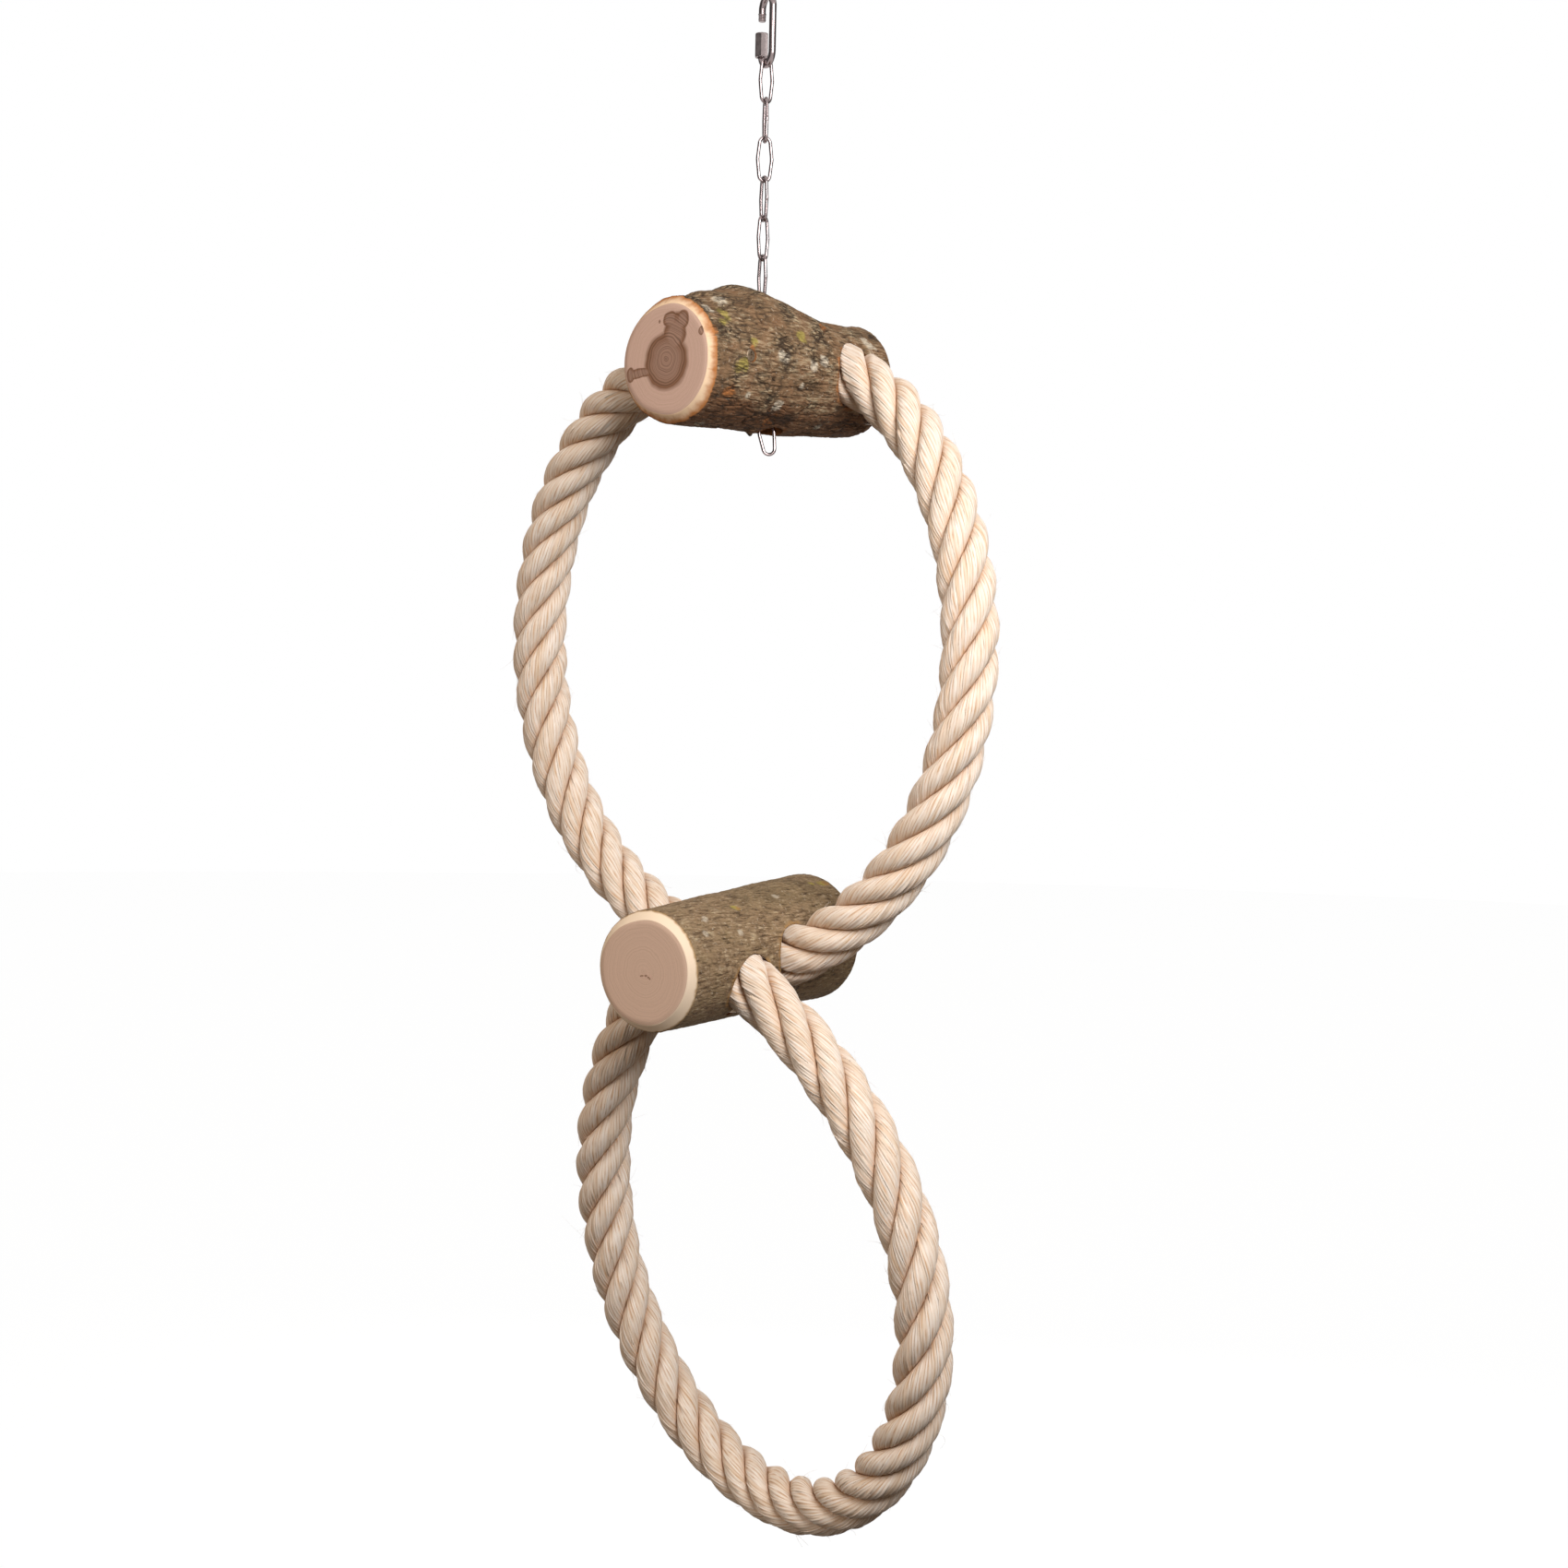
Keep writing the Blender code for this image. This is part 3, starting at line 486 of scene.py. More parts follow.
def bark_material(name, shades, plate, cracked, rind_depth, looks):
    """Bark and its cut rind: matt plates, parted by dark cracks along the grain, with weathered flecks and
    crusts of lichen. The chamfer bares the rind and then cream sapwood, by depth below the bark in mm."""
    material, tree, shader = blank_material(name)
    base, weathered, tinge, rind, sapwood = shades
    read = {label: node(tree, "Attribute", attribute_name=label).node.outputs["Fac"]
            for label in ("depth", "crack", "ridge", "tinge", "pale", "yellow", "rust")}
    place = node(tree, "TexCoord").node.outputs["Object"]
    sway = node(tree, "TexNoise", {"Vector": place, "Scale": repeats(4), "Detail": 3.0})
    sway = sway.node.outputs["Color"]
    fleck = node(tree, "TexNoise", {"Vector": place, "Scale": repeats(2.1), "Detail": 4.0,
                                    "Roughness": 0.7})
    broad = node(tree, "TexNoise", {"Vector": place, "Scale": repeats(13), "Detail": 3.0})
    # Streaks along the log, 1.4 mm wide and 8 mm long
    drawn_out = node(tree, "Mapping", {"Vector": place, "Scale": (repeats(1.4), repeats(8), repeats(1.4))})
    grain = node(tree, "TexNoise", {"Vector": drawn_out, "Scale": 1.0, "Detail": 5.0, "Roughness": 0.68})
    # Large and small plates are cells four times as long as wide, with edges bent by noise
    bent = node(tree, "VectorMath", {0: sway, 1: (plate * 0.35, plate * 0.9, plate * 0.35), 2: place},
                operation="MULTIPLY_ADD")
    plates = []
    for size, edge_width in ((plate, 0.15), (plate * 0.42, 0.22)):
        cells = node(tree, "Mapping", {"Vector": bent, "Scale": (1 / size, 1 / (size * 4), 1 / size)})
        edge = node(tree, "TexVoronoi", {"Vector": cells, "Scale": 1.0}, feature="DISTANCE_TO_EDGE")
        plates.append(node(tree, "MapRange", {"Value": edge, "From Min": 0.01, "From Max": edge_width},
                           interpolation_type="SMOOTHSTEP"))
    # Masks: what they follow, where they start and are whole, and how much they then cover.
    # Cracks come and go over the log by the gate
    mask = {label: node(tree, "MapRange", {"Value": follows, "From Min": start, "From Max": whole,
                                           "To Max": most})
            for label, follows, start, whole, most in (
                ("speck", grain, 0.47, 0.63, 1.0), ("furrow", grain, 0.48, 0.33, 0.88),
                ("mote", fleck, 0.60, 0.70, 0.7), ("crust", fleck, 0.31, 0.50, 0.95),
                ("warm", broad, 0.42, 0.66, 0.5), ("gate", broad, 0.60, 0.36, cracked),
                ("wide_split", plates[0], 0.75, 0.0, 1.0), ("fine_split", plates[1], 0.75, 0.0, 1.0),
                ("skin", read["depth"], 0.05, 0.45, 1.0))}
    worn, pale, yellow, rust, wide_split, fine_split, warm = [
        node(tree, "Math", {0: first, 1: second}, operation=operation) for first, second, operation in (
            (read["ridge"], mask["speck"], "MULTIPLY"), (read["pale"], mask["crust"], "MULTIPLY"),
            (read["yellow"], mask["crust"], "MULTIPLY"), (read["rust"], mask["crust"], "MULTIPLY"),
            (mask["wide_split"], mask["gate"], "MULTIPLY"), (mask["fine_split"], mask["gate"], "MULTIPLY"),
            (read["tinge"], mask["warm"], "MAXIMUM"))]
    ragged = node(tree, "MapRange", {"Value": sway, "From Min": 0.3, "From Max": 0.7,
                                     "To Min": -0.6, "To Max": 0.6})
    cut = node(tree, "Math", {0: ragged, 1: rind_depth, 2: read["depth"]}, operation="MULTIPLY_ADD")
    bared = node(tree, "MapRange", {"Value": cut, "From Min": rind_depth * 0.1,
                                    "From Max": rind_depth * 2.6}, interpolation_type="SMOOTHSTEP")
    fresh = node(tree, "Mix", {"Factor": bared, "A": rind, "B": sapwood}, data_type="RGBA")
    colour = base
    for cover, shade in ((worn, weathered), (warm, tinge), (mask["furrow"], looks.crack),
                         (mask["mote"], looks.lichen), (pale, looks.lichen), (yellow, looks.yellow),
                         (rust, rind), (wide_split, looks.crack), (fine_split, looks.crack),
                         (read["crack"], looks.crack), (mask["skin"], fresh)):
        colour = node(tree, "Mix", {"Factor": cover, "A": colour, "B": shade}, data_type="RGBA")
    height = grain
    for flat, share in zip(plates, (1.2, 0.5)):
        height = node(tree, "Math", {0: flat, 1: share * cracked, 2: height}, operation="MULTIPLY_ADD")
    # The cut chamfer is nearly smooth
    strength = node(tree, "MapRange", {"Value": read["depth"], "From Min": 0.05, "From Max": 0.45,
                                       "To Min": 0.75, "To Max": 0.05})
    bump = node(tree, "Bump", {"Strength": strength, "Distance": 0.0006, "Height": height})
    wear(tree, shader, Base_Color=colour, Roughness=0.88, IOR=1.5, Specular_IOR_Level=0.25, Normal=bump)
    return material


def end_grain_material(name, sapwood, dark, figure, looks):
    """Sawn and sanded end grain: matt wood with uneven growth rings about the pith, and brown wood with a
    darker edge in the ovals of figure (x, z, half width, half height, lean). Reads x and z of a point."""
    material, tree, shader = blank_material(name)
    section = node(tree, "UVMap", uv_map="pattern")
    waver = node(tree, "TexNoise", {"Vector": section, "Scale": repeats(10), "Detail": 1.0},
                 noise_dimensions="2D").node.outputs["Color"]
    centred = node(tree, "VectorMath", {0: waver, 1: (0.5, 0.5, 0.5)}, operation="SUBTRACT")
    bent = node(tree, "VectorMath", {0: centred, 1: (0.0026, 0.0026, 0), 2: section},
                operation="MULTIPLY_ADD")
    # Growth rings: noise along the distance from the pith, 0.9 mm a step and about two steps a ring
    distance = node(tree, "VectorMath", {0: bent}, operation="LENGTH").node.outputs["Value"]
    ring = node(tree, "TexNoise", {"W": distance, "Scale": repeats(0.9), "Detail": 1.5},
                noise_dimensions="1D")
    ring = node(tree, "MapRange", {"Value": ring, "From Min": 0.42, "From Max": 0.68})
    pores = node(tree, "TexNoise", {"Vector": section, "Scale": repeats(1.1), "Detail": 3.0,
                                    "Roughness": 0.7}, noise_dimensions="2D")
    mottle, faint, ringed = [node(tree, "Math", {0: follows, 1: most}, operation="MULTIPLY")
                             for follows, most in ((pores, 0.16), (ring, 0.13), (ring, 0.50))]
    inside = None
    for x, z, wide, high, lean in figure:
        oval = node(tree, "Mapping", {"Vector": bent, "Location": (x, z, 0), "Rotation": (0, 0, lean),
                                      "Scale": (wide, high, 1)}, vector_type="TEXTURE")
        reach = node(tree, "VectorMath", {0: oval}, operation="LENGTH").node.outputs["Value"]
        if inside is None:
            inside = reach
        else:
            inside = node(tree, "Math", {0: inside, 1: reach}, operation="MINIMUM")
    core = node(tree, "MapRange", {"Value": inside, "From Min": 1.10, "From Max": 0.92})
    middle = node(tree, "MapRange", {"Value": inside, "From Min": 1.0, "From Max": 0.55, "To Max": 0.38})
    lighter = node(tree, "Mix", {"Factor": middle, "A": dark, "B": sapwood}, data_type="RGBA")
    brown = node(tree, "Mix", {"Factor": ringed, "A": lighter, "B": looks.crack}, data_type="RGBA")
    colour = sapwood
    for cover, shade in ((mottle, dark), (faint, dark), (core, brown)):
        colour = node(tree, "Mix", {"Factor": cover, "A": colour, "B": shade}, data_type="RGBA")
    bump = node(tree, "Bump", {"Strength": 0.3, "Distance": 0.0002, "Height": pores})
    wear(tree, shader, Base_Color=colour, Roughness=0.72, IOR=1.5, Specular_IOR_Level=0.3, Normal=bump)
    return material


def drilled_material(looks):
    """Wall of a drilled hole: inner-bark wood, darkened in patches towards the crack colour."""
    material, tree, shader = blank_material("drilled_wood")
    place = node(tree, "TexCoord").node.outputs["Object"]
    dark_patches = node(tree, "TexNoise", {"Vector": place, "Scale": repeats(4), "Detail": 3.0})
    colour = node(tree, "Mix", {"Factor": dark_patches, "A": looks.rind, "B": looks.crack}, data_type="RGBA")
    wear(tree, shader, Base_Color=colour, Roughness=0.9, IOR=1.5, Specular_IOR_Level=0.2)
    return material


def metal_material(name, base, rough):
    """Bright metal: drawn, turned or plated, dulled here and there, so that its highlights come and go."""
    material, tree, shader = blank_material(name)
    place = node(tree, "TexCoord").node.outputs["Object"]
    dull = node(tree, "TexNoise", {"Vector": place, "Scale": repeats(4), "Detail": 2.0})
    roughness = node(tree, "MapRange", {"Value": dull, "From Min": 0.3, "From Max": 0.7,
                                        "To Min": rough * 0.8, "To Max": rough * 1.3})
    wear(tree, shader, Base_Color=base, Metallic=1.0, Roughness=roughness)
    return material


# Logs' shape, shared with the ropes and screws that meet them

UPPER_FRAME = shift((0, 0, PIN_HEIGHT - PIN_RISE))
LOWER_FRAME = (UPPER_FRAME @ shift(LOWER_LOG_HANG) @ spin(LOWER_LOG_YAW, "Z")
               @ spin(LOWER_LOG_TILT, "X"))


def upper_radius(place, angle):
    """Upper log: taper, slow waves and the overgrown knot on top; angle from +X towards +Z."""
    share = (place + UPPER_LOG_NEAR) / (UPPER_LOG_NEAR + UPPER_LOG_FAR)
    base = UPPER_NEAR_RADIUS + (UPPER_FAR_RADIUS - UPPER_NEAR_RADIUS) * share
    wave = BARK_WAVE * (np.cos(2 * angle + 0.6) + 0.6 * np.cos(3 * angle - 40 * place))
    knot_length = np.where(place < KNOT_PLACE, KNOT_NEAR_LENGTH, KNOT_FAR_LENGTH)
    knot = np.exp(-((place - KNOT_PLACE) / knot_length) ** 2
                  - (turned_from(math.pi / 2, angle) / KNOT_WIDTH) ** 2)
    return base + wave + KNOT_HEIGHT * knot


def lower_radius(place, angle):
    """Lower log: taper and slow waves."""
    share = place / LOWER_LOG_LENGTH + 0.5
    base = LOWER_NEAR_RADIUS + (LOWER_FAR_RADIUS - LOWER_NEAR_RADIUS) * share
    return base + BARK_WAVE * (np.cos(2 * angle - 0.9) + 0.4 * np.cos(3 * angle + 30 * place))


def upper_bend(place):
    """Height of the upper log's middle: straight to the chain, then bending up."""
    return UPPER_BEND * (np.maximum(place, 0) / UPPER_LOG_FAR) ** 2


# Ropes

STRANDS = 4
# A strand's half height, half width and girth, as shares of the rope's diameter
STRAND_TALL = 0.207
STRAND_WIDE = 0.240
STRAND_GIRTH = 1.42
STRAND_GAP = 0.0001
# Mesh columns across a yarn, as shares of it; the first lies in the groove beside it
YARN_COLUMNS = np.array((0.0, 0.28, 0.72))
YARN_CROWN = 0.35
# Lengths over which the yarns swell, the fibres clump and a strand grows thicker and thinner
YARN_SWELLS = (0.018, 0.045)
FIBRE_CLUMP = 0.0042
STRAND_SWELL = 0.083
# How high the yarns swell, differ from each other and clump, and how far they wander in yarn widths
SWELL_HEIGHT = 0.00014
YARN_SPREAD = 0.00012
CLUMP_HEIGHT = 0.00012
YARN_WANDER = 0.26
# How much thicker a strand grows, as a share of its half height
PLUMP = 0.02
# How far out of its socket the rope is still pressed round, and from where it is all open
PRESSED_TO = 0.004
OPEN_FROM = 0.016
SOCKET_FIT = 0.0004
# Reach of the painted shade beside the line where two strands meet
CREASE_SHADE = 0.0012
# Stray fibres: gamma spread of their length in metres and the most of it, then, as shares of it, gamma
# spread of how far they rise and normal spread of how far they curl
FIBRE_REACH = (2.2, 0.0024)
FIBRE_LENGTH = 0.011
FIBRE_RISE = (1.6, 0.20)
FIBRE_CURL = 0.28
FIBRE_STEPS = 6
# Fibres are drawn 0.2 mm thick, coarser than real ones so that they show
FIBRE_RADIUS = 0.0001

# How each rope is laid: share of the panel's lay, turn at its start in radians, and how the lay opens and
# tightens along it, all so that the strands fall as photographed
LAYS = {"upper_rope_right": (1.010, 0.756, (0.015, 0, 0)), "upper_rope_left": (0.936, 0.188, (0.027, 0, 0)),
        "lower_ring_rope": (1.068, 0.956, (0.082, -0.231, -0.038))}


def upper_limb(side, place, slope, reach, skew):
    """Route of one limb of the upper ring, socket, Bezier and socket, with its upper mouth."""
    leave = np.array((side * math.cos(slope), 0, -math.sin(slope)))
    arrive = LOWER_FRAME[:3, :3] @ (side * math.cos(LOWER_ENTRY_SLOPE), skew, math.sin(LOWER_ENTRY_SLOPE))
    round_log = 0 if side > 0 else math.pi
    out = upper_radius(place, round_log) - UPPER_MOUTH_INSET
    start = placed(UPPER_FRAME, (side * out, place, 0))
    out = lower_radius(LOWER_ENTRY_PLACE, round_log) - LOWER_MOUTH_INSET
    end = placed(LOWER_FRAME, (side * out, LOWER_ENTRY_PLACE, LOWER_ENTRY_RISE))
    curve = bezier(start, start + leave * reach[0], end + arrive * reach[1], end)
    return np.vstack([start - leave * SOCKET_DEPTH, curve, end - unit(arrive) * SOCKET_DEPTH]), start


def loop_limb(side, slope, reach):
    """Route of half of the lower ring, socket and Bezier down to the lowest point, with its mouth."""
    leave = LOWER_FRAME[:3, :3] @ (side * math.cos(slope), 0, -math.sin(slope))
    out = lower_radius(LOOP_PLACE, 0 if side > 0 else math.pi) - LOWER_MOUTH_INSET
    start = placed(LOWER_FRAME, (side * out, LOOP_PLACE, LOOP_RISE))
    level = np.array((math.cos(LOOP_BOTTOM_TURN), math.sin(LOOP_BOTTOM_TURN), 0))
    bottom = LOWER_FRAME[:3, 3] + LOOP_HANG
    curve = bezier(start, start + leave * reach, bottom + level * side * LOOP_BOTTOM_REACH, bottom)
    return np.vstack([start - leave * SOCKET_DEPTH, curve]), start


def rope_routes():
    """The three ropes by CAD node: dense route and the mouth where it starts."""
    right_half, mouth = loop_limb(**LOOP_RIGHT)
    left_half, _ = loop_limb(**LOOP_LEFT)
    return {"upper_rope_right": upper_limb(**UPPER_RIGHT), "upper_rope_left": upper_limb(**UPPER_LEFT),
            "lower_ring_rope": (np.vstack([right_half, left_half[-2::-1]]), mouth)}


def lay_turn(name, place, length, lay):
    """Turn of the strands: start + 2 pi / lay (s + L t (t - 1) (c0 + c1 (2 t - 1) + c2 (5 t^2 - 5 t + 1))),
    with t = s / L."""
    share, start, (even, odd, wavy) = LAYS[name]
    t = place / length
    eased = length * t * (t - 1) * (even + odd * (2 * t - 1) + wavy * (5 * t * t - 5 * t + 1))
    return start + TURN / (lay * share) * (place + eased)


def strand(name, route, looks, number, draw):
    """Points, UV, named values and outer side of one strand.

    Across the rope, a yarn at angle q on the strand's oval lies at x = H + (a + h) cos q,
    y = (b + h) sin q in axes that turn once in each lay, with h the yarn's own height. The flats
    |y| <= x tan(pi / 4) keep the strands apart, and q runs backwards along the rope, so that the yarns
    are twisted against the lay.
    """
    length = along(route)[-1]
    place = np.linspace(0, length, int(round(length / looks.row_step)) + 1)
    path = read_at(route, place)
    side, normal = cross_axes(path, (0, 1, 0))
    tall = looks.diameter * STRAND_TALL
    wide = looks.diameter * STRAND_WIDE
    helix = looks.diameter / 2 - tall
    row = place[:, None]

    yarn = np.arange(looks.yarns)
    angle = ((yarn[:, None] + YARN_COLUMNS) / looks.yarns * TURN).ravel()
    which = np.repeat(yarn, len(YARN_COLUMNS))
    valley = np.tile(YARN_COLUMNS, looks.yarns) == 0
    slow = row * TURN / draw.uniform(*YARN_SWELLS, looks.yarns) + draw.uniform(0, TURN, looks.yarns)
    wander = YARN_WANDER * np.sin(slow * 0.7 + 1) * TURN / looks.yarns
    swell = SWELL_HEIGHT * np.sin(slow) + draw.normal(0, YARN_SPREAD, looks.yarns)
    rough = noise_round(row, angle, cells=54, step=FIBRE_CLUMP, seed=100 + number)
    crown = np.where(valley, -looks.yarn_depth, looks.yarn_depth * YARN_CROWN)
    height = swell[:, which] + crown + CLUMP_HEIGHT * rough
    q = angle + wander[:, which] - row * TURN / looks.yarn_turn
    plump = 1 + PLUMP * np.sin(row * TURN / STRAND_SWELL + number * 2.1)

    x = helix + (tall * plump + height) * np.cos(q)
    y = (wide + height) * np.sin(q)
    flat = np.maximum(math.tan(math.pi / STRANDS) * x - STRAND_GAP, 2 * STRAND_GAP)
    room = np.maximum(flat - np.abs(y), 0)
    y = np.clip(y, -flat, flat)
    # In its socket the rope is pressed round, so the lobes swell out to the wall and close the mouth
    outside = np.minimum(row, length - row) - SOCKET_DEPTH
    pressed = smooth_step(OPEN_FROM, PRESSED_TO, outside) * smooth_step(-0.3, 0.5, np.cos(q))
    reach = np.hypot(x, y)
    swollen = 1 + pressed * np.maximum(SOCKET_RADIUS - SOCKET_FIT + height - reach, 0) / reach
    x, y = x * swollen, y * swollen
    turn = lay_turn(name, row, length, looks.lay) + number * TURN / STRANDS
    out, round_it = x * np.cos(turn) - y * np.sin(turn), x * np.sin(turn) + y * np.cos(turn)
    grid = path[:, None] + out[..., None] * side[:, None] + round_it[..., None] * normal[:, None]

    # Painted shade: darkens the strands where two strands meet, on their flanks and in the valleys between
    # yarns
    crease = 0.9 * np.exp(-room / CREASE_SHADE)
    flank_shade = 0.3 * smooth_step(0.6, 0.0, np.cos(q))
    between = valley * np.clip(0.6 + 0.5 * rough, 0.1, 1)
    groove_shade = np.maximum(np.maximum(crease, flank_shade), between)
    tone = 0.25 + 0.16 * np.sin(slow * 0.5 + 2)[:, which] + draw.normal(0, 0.18, looks.yarns)[which]
    turns = np.append(angle, angle[0] + TURN) / TURN
    # Each strand reads another stretch of the fibres' pattern
    uv = np.stack(np.broadcast_arrays(turns + number * 7, row), axis=-1)
    return grid, uv, {"tone": np.clip(tone, 0, 1), "groove_shade": groove_shade}, x > helix


def stray_fibres(name, grids, outer, count, draw):
    """Thin three-sided tubes that leave the yarns at a low angle, lift off and curl.

    From a point P of a strand's outer side, along the yarn Y, off the rope N and sideways B, the path is
    P + r (Y t + rise N t^1.7 + curl B sin(0.8 pi t)), with t from 0 to 1.
    """
    rows, columns = grids[0].shape[:2]
    choice = draw.integers(0, len(grids), count)
    row, column = draw.integers(4, rows - 24, count), draw.integers(0, columns, count)
    shown = np.stack(outer)[choice, row, column]
    choice, row, column = choice[shown], row[shown], column[shown]
    stack = np.stack(grids)
    start = stack[choice, row, column]
    yarn = unit(stack[choice, row + 3, column] - start)
    aside = unit(stack[choice, row, (column + 2) % columns] - start)
    lift = np.cross(aside, yarn)
    count = len(start)
    yarn = yarn * np.where(draw.random(count) < 0.5, 1, -1)[:, None]
    reach = np.minimum(draw.gamma(*FIBRE_REACH, count), FIBRE_LENGTH)[:, None, None]
    rise = draw.gamma(*FIBRE_RISE, count)[:, None, None]
    curl = draw.normal(0, FIBRE_CURL, count)[:, None, None]
    t = np.linspace(0, 1, FIBRE_STEPS)[None, :, None]
    path = (start[:, None] + yarn[:, None] * reach * t
            + lift[:, None] * (reach * rise * t ** 1.7 - FIBRE_RADIUS / 2)
            + aside[:, None] * reach * curl * np.sin(t * math.pi * 0.8))
    thick = FIBRE_RADIUS * (1 - 0.6 * t)
    ring = np.arange(3) * TURN / 3
    tube = (path[:, :, None] + thick[..., None] * (np.cos(ring)[:, None] * lift[:, None, None]
                                                   + np.sin(ring)[:, None] * aside[:, None, None]))
    base = (np.arange(count) * FIBRE_STEPS * 3)[:, None, None]
    low = base + np.arange(FIBRE_STEPS - 1)[:, None] * 3
    high = low + 3
    left, right = np.arange(3), (np.arange(3) + 1) % 3
    quads = np.stack([low + left, high + left, high + right, low + right], axis=-1).reshape(-1, 4)
    caps = np.concatenate([base[:, 0] + (0, 1, 2), base[:, 0] + (FIBRE_STEPS - 1) * 3 + (2, 1, 0)])
    mesh = bpy.data.meshes.new(name)
    mesh.from_pydata(tube.reshape(-1, 3).tolist(), [], quads.tolist() + caps.tolist())
    mesh.shade_smooth()
    return mesh


def make_ropes(looks):
    """Three ropes of four strands each, with their stray fibres."""
    hemp, loose = rope_material(looks), stray_material(looks)
    for seed, (name, (route, mouth)) in enumerate(rope_routes().items(), start=11):
        draw = np.random.default_rng(seed)
        parts = [strand(name, route, looks, number, draw) for number in range(STRANDS)]
        for number, (grid, uv, values, _) in enumerate(parts, start=1):
            label = f"{name}_strand_{number}"
            nodes = (name,) if number == 1 else ()
            add_piece(label, surface(label, grid, uv=uv, values=values), "swing", hemp,
                                    "natural_rope", *nodes)
        length = float(along(route)[-1])
        fluff = stray_fibres(name + "_fibres", [part[0] for part in parts], [part[3] for part in parts],
                             int(looks.stray * length), draw)
        add_piece(name + "_fibres", fluff, "swing", loose, "natural_rope")


# Logs

# Patches on the bark as photographed: place along the log in mm, angle in degrees from +X towards +Z, and
# size in mm. The far sides, past 90 degrees, follow the near ones
UPPER_PATCHES = {
    "pale": ((-18, 7, 4.6), (-15, -36, 4.2), (-52, 61, 4.5), (5, 5, 3.2), (-2, -14, 2.0), (15, 10, 3.4),
             (-66, 52, 5.0), (62, 36, 5.5), (-44, -30, 2.0), (-35, 118, 5.0), (22, 150, 4.5),
             (-20, 205, 5.0), (48, 240, 4.2), (-58, 285, 3.8), (30, 300, 3.0), (2, 82, 2.6)),
    "yellow": ((-56, 45, 4.2), (-62, 33, 4.0), (0, 30, 4.6), (-53, -5, 5.0), (-42, 18, 2.6),
               (-30, 140, 4.4), (40, 175, 4.0), (-60, 190, 3.4)),
    "rust": ((-44, 11, 2.6), (-58, -29, 4.2), (35, 23, 2.8), (27, 50, 3.4), (-72, 23, 3.6), (-10, -58, 6.0),
             (12, 230, 4.0), (-40, 160, 2.6)),
}
LOWER_PATCHES = {
    "pale": ((-50, 50, 2.4), (-58, 36, 2.0), (-30, 30, 2.2), (20, 60, 2.4), (-40, 150, 3.4), (30, 200, 3.0),
             (5, 250, 3.0)),
    "yellow": ((-20, 56, 2.2), (66, 64, 3.0), (58, 66, 2.0), (10, 130, 2.6), (-55, 170, 2.4)),
    "rust": ((-18, 55, 1.6), (68, 62, 2.2), (-66, 100, 2.0)),
}

# Relief of the bark in metres
ROUGH_RELIEF = {"lumps": 0.00065, "grit": 0.00022, "wide_cracks": -0.0008, "fine_cracks": -0.00045}
SMOOTH_RELIEF = {"lumps": 0.00030, "corky": 0.00020, "grit": 0.00008}
# Swellings of the bark on both sides of the knot, and a torn nub underneath
BURL_NEAR = {"place": -0.052, "height": 0.0028, "steep": 0.005, "slack": 0.014}
BURL_FAR = {"place": 0.019, "height": 0.0035, "length": 0.022}
BURL_WIDTH = 0.55
NUB = {"place": -0.014, "turn": math.radians(-80), "size": 0.0022, "height": 0.0036}

# Brown figure on the sawn ends: x, z, half width and half height in metres, and lean in radians
HEART_FIGURE = ((0.0002, -0.001, 0.0160, 0.0155, 0), (0.0062, 0.0135, 0.0084, 0.0115, -0.25),
                (0.0024, 0.0212, 0.0048, 0.0046, 0), (0.0120, 0.0205, 0.0050, 0.0052, 0),
                (-0.0200, -0.0062, 0.0098, 0.0029, 0.05), (-0.0270, -0.0066, 0.0030, 0.0040, 0),
                (0.0268, 0.0133, 0.0017, 0.0026, 0), (-0.0058, 0.0212, 0.0008, 0.0012, 0))
PITH_FLECKS = ((-0.0016, -0.0026, 0.0012, 0.0005, 0.2), (0.0011, -0.0023, 0.0010, 0.0006, 0),
               (0.0036, -0.0031, 0.0013, 0.0005, -0.2))

FACE_ROWS = 9
CHAMFER_ROWS = 12
# A chamfer's rasp marks and its uneven width round the log
RASP_MARKS = 0.00025
RASP_SWAY = 0.0006
# Inner bark shows round a drilled hole: all of it up to the first distance, none past the second, with a
# ragged edge, on the bark at the mouth and this far behind it
CHIPPED = 0.0004
UNCHIPPED = 0.0026
CHIP_RAGGED = 0.0014
CHIP_BEHIND = 0.004
# Bits reach past the bark, so that they cut clean
SOCKET_BIT = SOCKET_DEPTH + 0.045
BORE_BIT_BELOW = 0.02
BORE_BIT_ABOVE = 0.03
SCREW_BIT = 0.01
HEAD_CLEARANCE = 0.0002


def patches(place, angle, radius, spots, seed):
    """1 inside ragged round patches, 0 outside."""
    ragged = 0.45 * noise_round(place, angle, cells=60, step=0.0035, seed=seed)
    covered = np.zeros_like(radius)
    for spot_place, spot_turn, size in spots:
        off = radius * turned_from(math.radians(spot_turn), angle)
        reach = np.hypot(place - spot_place / 1000, off) / (size / 1000)
        covered = np.maximum(covered, smooth_step(1.1, 0.75, reach + ragged))
    return covered


def cracks(place, angle, cells, step, width, seed):
    """Cracks along the grain: valleys where a stretched, wavering noise crosses zero, broken by another."""
    x = angle / TURN * cells
    waver = 0.7 * noise_round(place, angle, cells=20, step=0.009, seed=seed + 1)
    valley = smooth_step(width, 0, np.abs(noise(x + waver, place / step, cells, seed)))
    return valley * smooth_step(-0.35, 0.25, noise(x * 0.5, place / step * 1.3, cells // 2, seed + 2))


